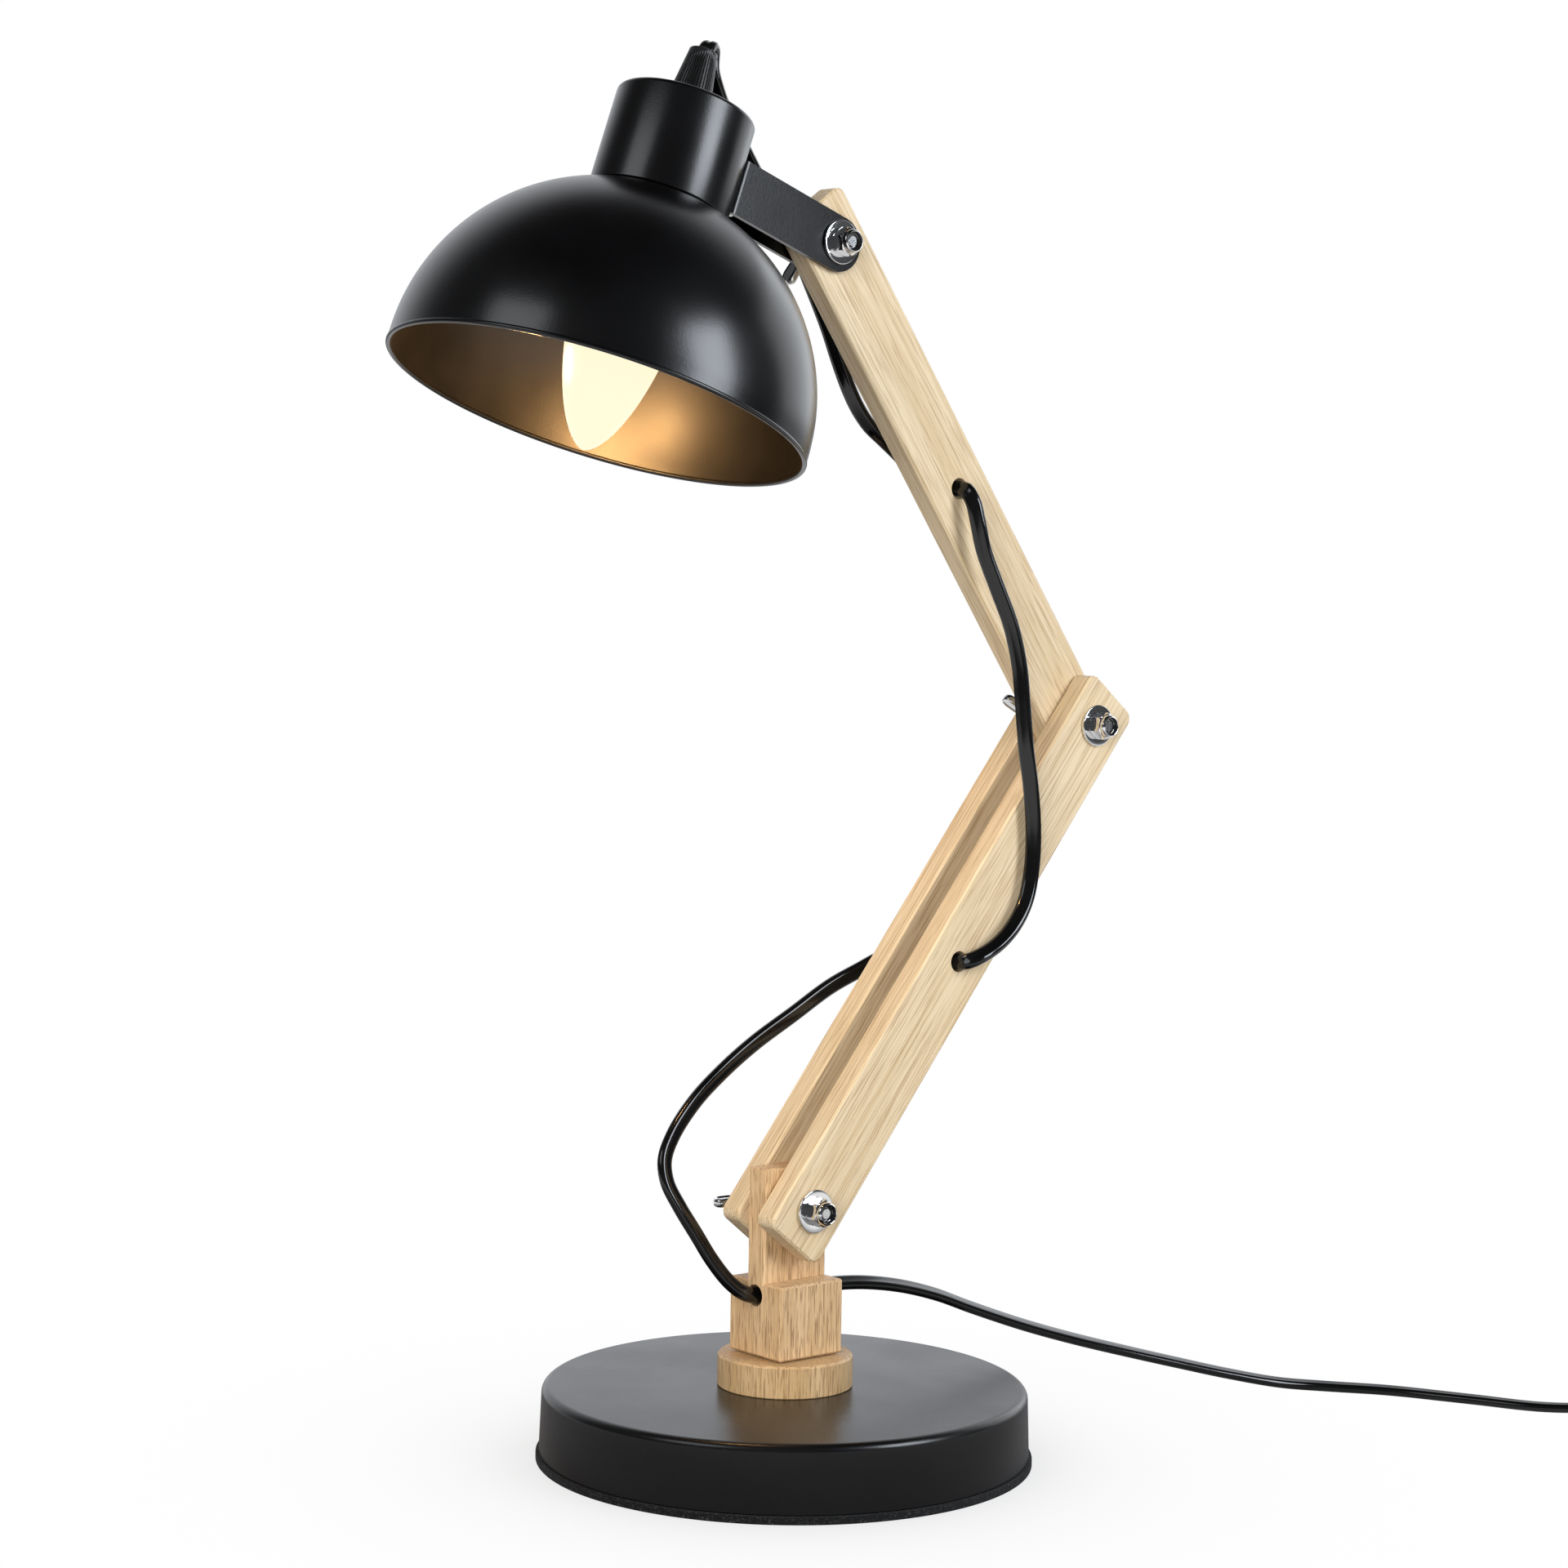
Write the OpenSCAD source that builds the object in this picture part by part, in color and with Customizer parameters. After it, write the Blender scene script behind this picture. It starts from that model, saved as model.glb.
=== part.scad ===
// Wooden swing-arm desk lamp with a half-round metal shade.
// The origin is the middle of the base's underside. +Z is up, the arms swing in the XZ plane,
// the shade hangs toward -X and the lock nuts face -Y. All sizes are in millimetres.

/* [Base] */
// Diameter of the shell at its foot
base_d = 158; // [130:1:200]
// How much less the shell's radius is at its top than at its foot
base_taper = 0.7; // [0:0.1:4]
// Height of the shell above the pad
base_h = 21.5; // [20:0.5:32]
// Radius of the shell's rounded top edge
base_edge_r = 2.6; // [1:0.2:5]
// Sheet thickness of the shell
base_wall = 1.2; // [0.8:0.1:1.6]
// How far the pad stands out past the shell's foot
pad_lip = 1; // [0:0.1:3]
// Thickness of the pad
pad_t = 2.5; // [1:0.1:4]
// Thickness of the cast weight's disc
weight_t = 12; // [9.5:0.5:15]
// Room between the weight and the shell
weight_gap = 1.5; // [1.2:0.1:3]
// Diameter of the weight's hub
weight_hub_d = 42; // [32:1:60]

/* [Swivel] */
// Diameter of the swivel bolt
swivel_d = 8; // [6:1:9]
// Width across the flats of the swivel bolt's head
swivel_head_w = 13; // [12:1:15]
// Height of the swivel bolt's head
swivel_head_h = 5.3; // [4:0.1:6]
// Thickness of the spring washer under the bolt's head
spring_t = 2; // [1:0.1:2.5]
// Diameter of the spring washer
spring_d = 14.8; // [13:0.1:17]
// Diameter of the recess for the bolt's head
recess_d = 24; // [20:1:28]
// Diameter of the threaded insert in the post
insert_d = 11; // [10.5:0.5:13]
// Length of the threaded insert
insert_l = 11; // [6:0.5:12]
// Diameter of the thrust washer under the post
thrust_d = 22; // [16:1:25]
// Thickness of the thrust washer
thrust_t = 0.4; // [0.2:0.1:1]

/* [Post] */
// Diameter of the wooden collar disc
collar_d = 43.6; // [40:0.2:60]
// Height of the collar disc
collar_h = 10.4; // [6:0.2:16]
// Width of the square post block
block_w = 26; // [24:0.5:30]
// Height of the post block
block_h = 24; // [22:0.5:34]
// Height of the tongue above the block
tongue_h = 36.6; // [33:0.2:44]
// Thickness of the post's tongue and of the upper arm
tongue_t = 8.5; // [8:0.5:10]
// Height of the shoulder pivot above the block
shoulder_up = 23.4; // [19:0.2:26]
// Distance of the lead's hole below the block's top
post_hole_drop = 4.4; // [4.2:0.1:5]
// Flat of the eased wooden edges
eased = 0.7; // [0.3:0.1:1]

/* [Arms] */
// Width of the wooden strips
arm_w = 25; // [22:0.5:28]
// Thickness of the two lower strips
strip_t = 8.5; // [6:0.5:11]
// Gap between a strip and what it turns against
side_gap = 0.25; // [0.2:0.05:0.5]
// Lower arm, from shoulder pivot to elbow pivot
lower_l = 195.5; // [185:0.5:205]
// Length of the lower strips past the shoulder pivot
lower_foot = 13.2; // [10:0.2:14]
// Length of the lower strips past the elbow pivot
lower_top = 13.2; // [10:0.2:16]
// Upper arm, from elbow pivot to head pivot
upper_l = 191.3; // [181:0.5:200]
// Length of the upper arm past the elbow pivot
upper_end = 12.5; // [10:0.5:15]
// Length of the upper arm past the head pivot
upper_tip = 14; // [10:0.5:15]
// Radius of the strips' rounded corners
corner_r = 3.4; // [2:0.2:6]
// Distance from the shoulder pivot to the lower arm's cord hole
lower_hole_at = 97.5; // [80:0.5:115]
// Distance from the elbow pivot to the upper arm's cord hole
upper_hole_at = 97; // [80:0.5:115]
// Diameter of the cord holes in the wood
cord_hole_d = 7; // [6.4:0.2:7.4]

/* [Pose] */
// Lean of the lower arm from upright, toward +X
lower_lean = 38.7; // [20:0.1:50]
// Lean of the upper arm from upright, toward +X
upper_lean = -36; // [-46:0.1:-20]
// Tilt of the shade's axis from upright
head_tilt = 19.8; // [0:0.1:30]

/* [Fasteners] */
// Diameter of the pivot studs
stud_d = 5; // [4:0.5:6]
// Diameter of the pivot washers
washer_d = 14; // [12:0.5:16]
// Thickness of the pivot washers
washer_t = 1.2; // [0.8:0.1:1.6]
// Width across the flats of the lock nuts
nut_w = 8; // [7.5:0.5:10]
// Height of the lock nuts
nut_h = 6.2; // [4:0.2:7]
// Tip to tip width of the wing nuts
wing_span = 26.4; // [20:0.2:30]
// Height of the wing nuts
wing_h = 9.5; // [8.6:0.1:11]
// Thickness of the wings
wing_t = 2.8; // [2:0.2:3.6]
// Diameter of the wing nuts' hub
wing_hub_d = 10; // [9:0.5:11]
// Height of the wing nuts' hub
wing_hub_h = 6.2; // [5:0.2:7]
// Turn of the shoulder wing nut
shoulder_wing_turn = 174; // [0:1:360]
// Turn of the elbow wing nut
elbow_wing_turn = 221; // [0:1:360]
// Turn of the head wing nut
head_wing_turn = 108; // [0:1:360]

/* [Head bracket] */
// Sheet thickness of the bracket
strap_t = 1.8; // [1.2:0.1:2.4]
// Width of the bracket's ears
strap_w = 17.4; // [15.2:0.2:20]
// Distance of the ears' middle below the head pivot
strap_drop = 0.6; // [0:0.1:1]
// Outer radius of the bracket's bends
strap_bend_r = 2.4; // [2.4:0.1:4]
// Distance from the head pivot to the cap's axis
head_reach = 66.7; // [62:0.1:74]
// Height of the head pivot above the seam between cap and shade
pivot_rise = 17.1; // [15:0.1:19]
// Distance between the two bracket screws
screw_gap = 9; // [8:0.2:9.4]
// Diameter of the bracket screws
screw_d = 4; // [3:0.2:4]
// Diameter of the screw heads
screw_head_d = 7; // [6:0.2:7.6]
// Height of the screw heads
screw_head_h = 2.2; // [1.6:0.1:3]

/* [Cap and shade] */
// Diameter of the cap
cap_d = 44; // [42:0.2:48]
// Height of the cap
cap_h = 32.8; // [30:0.1:36]
// Radius of the cap's top edge
cap_edge_r = 1.6; // [1:0.1:3]
// Sheet thickness of the cap
cap_wall = 1; // [0.6:0.1:1.2]
// Outer radius of the half-round shade
shade_r = 65.8; // [60:0.2:70]
// Height of the shade's straight skirt
shade_skirt = 3.2; // [1:0.1:8]
// Sheet thickness of the shade
shade_wall = 1; // [0.6:0.1:1.4]
// Radius of the shade's rolled lip
lip_r = 0.8; // [0.6:0.1:1.4]

/* [Lamp holder and bulb] */
// Outer diameter of the lamp holder
holder_d = 27.6; // [26.6:0.2:29]
// Diameter of the holder's flange above the shade
flange_d = 34; // [31:0.5:37]
// Thickness of the flange
flange_t = 3; // [2:0.2:4]
// Height of the holder above the seam
holder_up = 25; // [24.4:0.1:26]
// Depth of the holder below the seam
holder_down = 8; // [7:0.2:9]
// Diameter of the ring that clamps the shade
ring_d = 39; // [35:0.5:44]
// Height of the clamp ring
ring_h = 5.6; // [4:0.2:6]
// Diameter of the bulb's screw cap
screw_cap_d = 13.8; // [13.4:0.1:14]
// Diameter of the bulb
bulb_d = 34.2; // [32:0.2:36]
// Distance of the bulb's tip below the seam
bulb_tip = 79.5; // [78:0.1:84]
// Distance from the bulb's tip to its widest place
bulb_nose = 56; // [50:0.5:57]
// Diameter of the bulb's neck
neck_d = 20; // [17:0.5:20.6]
// Thickness of the bulb's glass
glass_t = 1; // [0.6:0.1:1.4]
// Diameter of the threaded nipple
nipple_d = 10; // [9.8:0.1:10.4]
// Bore of the threaded nipple
nipple_bore = 6.8; // [6:0.2:7.2]
// Base diameter of the cord grip
grip_d = 14.4; // [14:0.2:17]
// Top diameter of the cord grip
grip_top_d = 8.8; // [8.8:0.1:10]
// Height of the cord grip
grip_h = 18.6; // [18:0.1:20]
// Number of ribs on the cord grip
grip_ribs = 40; // [20:1:44]
// Depth of the grip's ribs
rib_depth = 0.4; // [0.2:0.1:0.6]

/* [Cord] */
// Width of the flat cord
cord_w = 5.4; // [4.6:0.1:5.6]
// Thickness of the flat cord
cord_t = 3.2; // [2.6:0.1:3.4]
// Middle radius of the coil's outermost turn
coil_r = 36; // [34:0.5:42]
// Step of the coil from turn to turn
coil_step = 4.2; // [4:0.1:5]
// Turns of the coil
coil_turns = 6.25; // [4.25:1:6.25]
// Gap between the coil's two layers
coil_layer_gap = 0.6; // [0.5:0.1:1]
// Thickness of the coil's tie
tie_t = 0.7; // [0.5:0.1:0.8]
// Width of the coil's tie
tie_w = 9; // [6:0.5:12]

/* [Switch] */
// Length of the cord switch
switch_l = 56; // [50:1:64]
// Width of the cord switch
switch_w = 26; // [24:0.5:30]
// Height of the switch's lower shell
switch_low_h = 9; // [8.4:0.2:11]
// Height of the switch's upper shell
switch_top_h = 8; // [7:0.2:10]
// Length of the rocker
rocker_l = 20; // [16:0.5:24]
// Width of the rocker
rocker_w = 11; // [9:0.5:13]
// Height of the rocker above the switch's top
rocker_up = 2.4; // [1.8:0.1:3]
// Tilt of the rocker when the lamp is on
rocker_tilt = 7; // [4:0.5:8]

/* [Plug] */
// Width of the plug
plug_w = 35; // [33:0.5:36]
// Thickness of the plug
plug_t = 13.7; // [13:0.1:16]
// Length of the plug's body
plug_l = 34; // [30:0.5:40]
// Length of the plug's tapered cord sleeve
sleeve_l = 22; // [20:0.5:30]
// Diameter of the plug's pins
pin_d = 4; // [3.8:0.1:4.8]
// Length of the plug's pins
pin_l = 19; // [17:0.5:20]
// Distance between the plug's pins
pin_gap = 18.6; // [17:0.1:19.2]

/* [Hidden] */
$fn = 72;

// Clearances: a turning fit on a stud, a fixed fit, and flat faces that turn on each other.
turn_fit = 0.06;
fixed_fit = 0.03;
face_gap = 0.05;
eps = 0.01;

// The pad and the shell's top follow the shell's foot.
base_top_d = base_d - 2 * base_taper;
pad_d = base_d + 2 * pad_lip;

// Heights up the post.
base_top = pad_t + base_h;
collar_top = base_top + collar_h;
block_z = collar_top + thrust_t + face_gap;
ledge_z = block_z + block_h;
shoulder_z = ledge_z + shoulder_up;
post_hole_z = ledge_z - post_hole_drop;

// The bolt's head hangs in the weight's recess and its tip stops under the lead's hole.
recess_h = swivel_head_h + spring_t + 1.7;
recess_top = pad_t + recess_h;
spring_top = recess_top - face_gap;
head_top = spring_top - spring_t;
swivel_tip = post_hole_z - cord_hole_d / 2 - 2.4;

// Half widths of the clamped stacks.
inner_half = tongue_t / 2 + side_gap;
stack_half = inner_half + strip_t;
ear_half = inner_half + strap_t;

// Pivots, and points given in each arm's own frame.
shoulder = [0, 0, shoulder_z];
elbow = shoulder + lower_l * [sin(lower_lean), 0, cos(lower_lean)];
head_pivot = elbow + upper_l * [sin(upper_lean), 0, cos(upper_lean)];
function leaned(p, lean) = [p.x * cos(lean) + p.z * sin(lean), p.y, p.z * cos(lean) - p.x * sin(lean)];
function lower_pt(p) = shoulder + leaned(p, lower_lean);
function upper_pt(p) = elbow + leaned(p, upper_lean);
function head_pt(p) = head_pivot + leaned(p, head_tilt);

// Shade and cap: heights are from the seam, on the cap's axis.
shade_drop = sqrt(pow(shade_r, 2) - pow(cap_d / 2, 2));
function dome_z(r) = sqrt(pow(shade_r, 2) - pow(r, 2)) - shade_drop;
function dome_under(r) = sqrt(pow(shade_r - shade_wall, 2) - pow(r, 2)) - shade_drop;
cap_foot = dome_z(cap_d / 2 - cap_wall) + fixed_fit;
hole_r = holder_d / 2 + 0.2;
flange_z = dome_z(hole_r) + fixed_fit;
ring_top = dome_under(ring_d / 2) - fixed_fit;
neck_z = -3;
cap_rim_z = 0.5;
cap_end_z = 16.4;
contact_z = 19.4;
shell_r = screw_cap_d / 2 + 0.25;

// Bracket: x is from the head pivot, toward the cap.
web_x = -head_reach + cap_d / 2 + face_gap;
inner_wall_x = -head_reach + sqrt(pow(cap_d / 2 - cap_wall, 2) - pow(screw_head_d / 2, 2));
bracket_nut_h = 3;
bracket_nut_w = 7;

// Route points of the cord's free stretches, each in the frame that holds that end.
grip_z = cap_h + grip_h - pivot_rise;
fold_r = 3.2;
fold_in = 1.3;
fold_z = grip_z + 0.6;
fold_turn = 34;
function fold_pt(a) =
    let (out = fold_in + fold_r * (1 - cos(a)))
    head_pt([-head_reach + out * cos(fold_turn), out * sin(fold_turn), fold_z + fold_r * sin(a)]);
head_route = concat(
    [fold_pt(0) - 4 * leaned([0, 0, 1], head_tilt)],
    [for (a = [0:40:160]) fold_pt(a)],
    [for (p = [[-59, 4.5, 32.4], [-55.6, 4.9, 28.7], [-50, 6.4, 24.9], [-41, 9.6, 21.4], [-32, 12, 17.2],
               [-21, 14.4, 11.8], [-9.5, 18.2, 7.4]]) head_pt(p)],
    [for (p = [[4.5, 21, 192], [2.5, 20.5, 176], [-0.6, 19, 161], [-3.6, 18, 150], [-5.9, 17, 140],
               [-6.7, 16.3, 133], [-6.3, 15.5, 126], [-4.3, 14.6, 119], [-2.2, 13.4, 111], [-1.2, 12, 103.5],
               [-0.5, 9.8, 98.5], [0, 6.5, upper_hole_at], [0, 0, upper_hole_at]])
        upper_pt(p)]);
elbow_route = concat(
    [for (p = [[0, 0, upper_hole_at], [0, -4, upper_hole_at], [-0.2, -7.4, 96.4], [-1.8, -10, 93],
               [-4.5, -11, 87], [-8, -11.5, 78], [-11.2, -13, 65], [-14.4, -14.6, 52],
               [-19.7, -15.8, 39.5]]) upper_pt(p)],
    [for (p = [[-34.6, -16.5, 178], [-24.9, -17, 168], [-13.8, -17, 158.5],
               [-3, -17, 147.5], [4.5, -17, 137], [8, -17.5, 128], [8.4, -18, 118.5],
               [6, -18.5, 109.5], [2.2, -18.4, 102], [0.4, -16.5, 98.4], [0, -13.5, lower_hole_at],
               [0, 0, lower_hole_at]]) lower_pt(p)]);
shoulder_route = concat(
    [for (p = [[0, 0, lower_hole_at], [0, 13.5, lower_hole_at],
               [-0.6, 17.5, 96.6], [-2.6, 20.6, 92.5], [-6.3, 22, 85.5], [-13, 22.5, 74]])
        lower_pt(p)],
    [[19.5, 22, 140], [2.5, 21, 132], [-12, 19.5, 124], [-25.5, 17, 115.5], [-36, 14.5, 106],
     [-40.7, 12.5, 99], [-41.2, 10.5, 92.5], [-38, 8, 84.5], [-33, 5.6, 75.5], [-28.2, 3.4, 67],
     [-23, 1.4, 60], [-18, 0.3, 56], [-13, 0, post_hole_z], [0, 0, post_hole_z]]);

// The put-away length lies in its own frame: the switch runs along x and the plug points along y.
lay_at = [279, -133.5];
lay_turn = -20;
function lay_pt(p) = [lay_at.x + p.x * cos(lay_turn) - p.y * sin(lay_turn),
                      lay_at.y + p.x * sin(lay_turn) + p.y * cos(lay_turn), p.z];
switch_cord_z = 6;
lead_lean = 38;
lead_route = concat(
    [[0, 0, post_hole_z], [13, 0, post_hole_z], [24, 0, 54], [35, -0.5, 52.8],
     [49, -1.5, 50], [63, -3, 45.7], [77, -5, 40], [98, -8.5, 32], [119, -12.5, 25], [139, -17.5, 19],
     [158.5, -23.5, 13.4], [178, -29.8, 8], [196, -37.2, 3.8], [211, -46.5, 2.1], [225, -62, 1.7],
     [238, -87, 1.7], [250, -111, 1.8], [259, -123.4, 3], [270, -130.2, 5]],
    [lay_pt([0, 0, switch_cord_z])]);

// Coil: two layers, wound in and out again, with the cord on edge.
coil_lift = tie_t + 0.25;
coil_low_z = coil_lift + cord_w / 2;
coil_high_z = coil_low_z + cord_w + coil_layer_gap;
switch_lead_l = 30;
coil_at = [switch_l + switch_lead_l + cord_w, coil_r];
coil_half = coil_turns * 180;
coil_ring_step = 15;
function coil_radius(a) = coil_r - coil_step * (coil_half - abs(a - coil_half)) / 360;
function coil_rise(a) = min(1, max(0, (a - coil_half + 90) / 180));
function coil_z(a) = coil_low_z + (coil_high_z - coil_low_z) * coil_rise(a);
function coil_pt(a) = [coil_at.x + coil_radius(a) * sin(a), coil_at.y - coil_radius(a) * cos(a), coil_z(a)];
coil_line = concat([[coil_at.x - cord_w, 0, coil_low_z]],
                   [for (a = [0:coil_ring_step:2 * coil_half]) coil_pt(a)],
                   [[coil_at.x + coil_r, coil_at.y + cord_w, coil_high_z]]);
switch_lead_line = [[switch_l, 0, switch_cord_z], [switch_l + 8, 0, switch_cord_z - 0.4],
                    [switch_l + 16, 0, 5], [switch_l + 23, 0, coil_low_z + 0.2],
                    [switch_l + switch_lead_l, 0, coil_low_z]];
plug_x = coil_at.x + coil_r;
plug_z = plug_t / 2;
plug_lead_y = coil_at.y + cord_w;
plug_y = plug_lead_y + 25;
plug_lead_line = [[plug_x, plug_lead_y, coil_high_z], [plug_x, plug_lead_y + 6, coil_high_z - 0.2],
                  [plug_x, plug_lead_y + 13, (coil_high_z + plug_z) / 2],
                  [plug_x, plug_lead_y + 19, plug_z + 0.2], [plug_x, plug_y, plug_z]];

// Least gap between turns of the coil, measured on points round each ring and the ring's mid edges.
coil_section = cord_section(6);
coil_marks = concat(coil_section, [for (k = [0:5]) (coil_section[k] + coil_section[(k + 1) % 6]) / 2]);
function coil_mark(a, m) = [coil_radius(a) + m.y, coil_z(a) + m.x];
coil_gap = min([for (a = [0:coil_ring_step:2 * coil_half - 360]) for (b = [a + 360:360:2 * coil_half])
                for (m = coil_marks) for (n = coil_marks) norm(coil_mark(a, m) - coil_mark(b, n))]);
echo(str("Least gap between turns of the coil: ", round(coil_gap * 100) / 100, " mm"));

// Colours as photographed.
black_coat = [0.07, 0.07, 0.08];
grey_coat = [0.2, 0.2, 0.21];
pale_wood = [0.87, 0.75, 0.56];
tan_wood = [0.79, 0.63, 0.43];
bright_steel = [0.75, 0.75, 0.76];
brass = [0.76, 0.62, 0.32];
black_plastic = [0.08, 0.08, 0.08];
black_cord = [0.05, 0.05, 0.05];

// Geometry helpers
function unit(v) = v / norm(v);
function cord_section(sides) =
    let (wide_most = max([for (k = [0:sides - 1]) cos(360 * (k + 0.5) / sides)]))
    let (thin_most = max([for (k = [0:sides - 1]) sin(360 * (k + 0.5) / sides)]))
    [for (k = [0:sides - 1]) [cord_w / 2 * cos(360 * (k + 0.5) / sides) / wide_most,
                              cord_t / 2 * sin(360 * (k + 0.5) / sides) / thin_most]];
function tangents(path, first, last) = [for (i = [0:len(path) - 1])
    i == 0 && first ? unit(first) :
    i == len(path) - 1 && last ? unit(last) :
    unit(path[min(i + 1, len(path) - 1)] - path[max(i - 1, 0)])];
function carried(along, wide, i = 0, out = []) = i == len(along) ? out :
    let (v = unit(wide - (wide * along[i]) * along[i])) carried(along, v, i + 1, concat(out, [v]));
function turned(v, axis, a) = v * cos(a) + cross(axis, v) * sin(a);

// A flat cord along a path. wide is the way its broad side faces at the start, and twist is how far
// it turns about itself by the end. leave and enter are its directions at its two ends, where given.
module cord_tube(path, wide, twist = 0, sides = 8, leave = undef, enter = undef) {
    section = cord_section(sides);
    last = len(path) - 1;
    along = tangents(path, leave, enter);
    across = carried(along, wide);
    points = [for (i = [0:last]) let (w = turned(across[i], along[i], twist * i / last))
              for (s = section) path[i] + s.x * w + s.y * cross(along[i], w)];
    walls = [for (i = [0:last - 1]) for (k = [0:sides - 1])
             let (a = i * sides + k) let (b = i * sides + (k + 1) % sides)
             each [[a, b + sides, b], [a, a + sides, b + sides]]];
    first_end = [for (k = [1:sides - 2]) [0, k, k + 1]];
    last_end = [for (k = [1:sides - 2]) [last * sides, last * sides + k + 1, last * sides + k]];
    polyhedron(points = points, faces = concat(walls, first_end, last_end), convexity = 10);
}

// A flat shape drawn in XZ, from y0 to y0 + t.
module slab(y0, t) {
    translate([0, y0 + t, 0])
        rotate([90, 0, 0])
            linear_extrude(height = t)
                children();
}

// Children stand on the plane y, with their own z along +Y.
module along_y(y) {
    translate([0, y, 0])
        rotate([-90, 0, 0])
            children();
}

module pivot_bore(d) {
    rotate([90, 0, 0])
        cylinder(d = d, h = 100, center = true);
}

module at_lower() {
    translate(shoulder)
        rotate([0, lower_lean, 0])
            children();
}

module at_elbow() {
    translate(elbow)
        rotate([0, lower_lean, 0])
            children();
}

module at_upper() {
    translate(elbow)
        rotate([0, upper_lean, 0])
            children();
}

module at_head() {
    translate(head_pivot)
        rotate([0, head_tilt, 0])
            children();
}

// The seam between cap and shade, on the cap's axis.
module at_cap() {
    at_head()
        translate([-head_reach, 0, -pivot_rise])
            children();
}

module lying() {
    translate([lay_at.x, lay_at.y, 0])
        rotate([0, 0, lay_turn])
            children();
}

// A rounded rectangle from corner [x0, z0] to [x1, z1].
module rounded_rect(x0, z0, x1, z1, r) {
    translate([x0 + r, z0 + r])
        offset(r = r, $fn = 32)
            square([x1 - x0 - 2 * r, z1 - z0 - 2 * r]);
}

// A wooden strip in XZ with rounded corners and eased long edges.
module strip(y0, t, z0, z1) {
    hull() {
        slab(y0 + eased, t - 2 * eased)
            rounded_rect(-arm_w / 2, z0, arm_w / 2, z1, corner_r);
        slab(y0, t)
            rounded_rect(-arm_w / 2 + eased, z0 + eased, arm_w / 2 - eased, z1 - eased, corner_r - eased);
    }
}

// A square wooden block with eased edges, standing on z0.
module eased_block(w, d, z0, h) {
    hull() {
        translate([-w / 2 + eased, -d / 2 + eased, z0])
            cube([w - 2 * eased, d - 2 * eased, h]);
        translate([-w / 2, -d / 2 + eased, z0 + eased])
            cube([w, d - 2 * eased, h - 2 * eased]);
        translate([-w / 2 + eased, -d / 2, z0 + eased])
            cube([w - 2 * eased, d, h - 2 * eased]);
    }
}

module washer(d, bore, t) {
    difference() {
        cylinder(d = d, h = t);
        translate([0, 0, -1])
            cylinder(d = bore, h = t + 2);
    }
}

module hex(w, h) {
    cylinder(d = w / cos(30), h = h, $fn = 6);
}

// The pivot hardware, about the pivot's own axis. half is half the clamped stack.
module stud(half) {
    along_y(-half - washer_t - nut_h + 0.6)
        cylinder(d = stud_d, h = 2 * half + 2 * washer_t + nut_h + wing_hub_h + 0.6);
}

module washer_pair(half) {
    along_y(half)
        washer(washer_d, stud_d + 2 * fixed_fit, washer_t);
    along_y(-half - washer_t)
        washer(washer_d, stud_d + 2 * fixed_fit, washer_t);
}

// A lock nut: a hexagon with a round collar that holds its nylon ring.
module lock_nut(half) {
    along_y(-half - washer_t - nut_h)
        difference() {
            union() {
                translate([0, 0, nut_h * 0.3])
                    hex(nut_w, nut_h * 0.7);
                cylinder(d1 = nut_w - 1.4, d2 = nut_w - 0.4, h = nut_h * 0.3);
            }
            translate([0, 0, -1])
                cylinder(d = stud_d + 2 * fixed_fit, h = nut_h + 2);
        }
}

// A wing nut turned about its stud, seated a face gap off its washer.
module wing_nut(half, turn) {
    seat = half + washer_t + face_gap;
    along_y(seat)
        rotate([0, 0, turn])
            difference() {
                union() {
                    cylinder(d1 = wing_hub_d, d2 = wing_hub_d - 1.6, h = wing_hub_h);
                    for (side = [0, 180])
                        rotate([0, 0, side])
                            slab(-wing_t / 2, wing_t)
                                wing_outline();
                }
                translate([0, 0, -1])
                    cylinder(d = stud_d + 2 * turn_fit, h = wing_h + 2);
            }
}

// One wing, in the plane of the stud: x is away from the stud and z is off the washer.
module wing_outline() {
    tip_r = 2.9;
    hull() {
        translate([wing_hub_d / 2 - 1.6, 0.4])
            square([1, wing_hub_h - 1.2]);
        translate([wing_span / 2 - tip_r, wing_h - tip_r])
            circle(r = tip_r, $fn = 32);
    }
}

// Base
// The shell's section, drawn in by the sheet's thickness for its inside.
module shell_section(inset, foot) {
    corner = base_edge_r - min(inset, base_edge_r - 0.2);
    top_r = base_top_d / 2 - inset;
    polygon(concat([[0, foot], [base_d / 2 - inset, foot]],
                   [for (a = [0:15:90]) [top_r - corner + corner * cos(a),
                                         base_top - inset - corner + corner * sin(a)]],
                   [[0, base_top - inset]]));
}

module base_shell() {
    color(grey_coat)
        difference() {
            rotate_extrude($fn = 120)
                difference() {
                    shell_section(0, pad_t);
                    shell_section(base_wall, pad_t - 1);
                }
            cylinder(d = swivel_d + 2 * turn_fit, h = 100);
        }
}

module base_weight() {
    weight_r = base_top_d / 2 - base_wall - weight_gap;
    color("dimgray")
        difference() {
            union() {
                translate([0, 0, pad_t])
                    cylinder(r = weight_r, h = weight_t, $fn = 120);
                translate([0, 0, pad_t])
                    cylinder(d = weight_hub_d, h = base_h - base_wall);
            }
            translate([0, 0, pad_t - 1])
                cylinder(d = recess_d, h = recess_h + 1);
            cylinder(d = swivel_d + 2 * turn_fit, h = 100);
        }
}

module felt_pad() {
    color(black_plastic)
        cylinder(d = pad_d, h = pad_t, $fn = 120);
}

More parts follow.
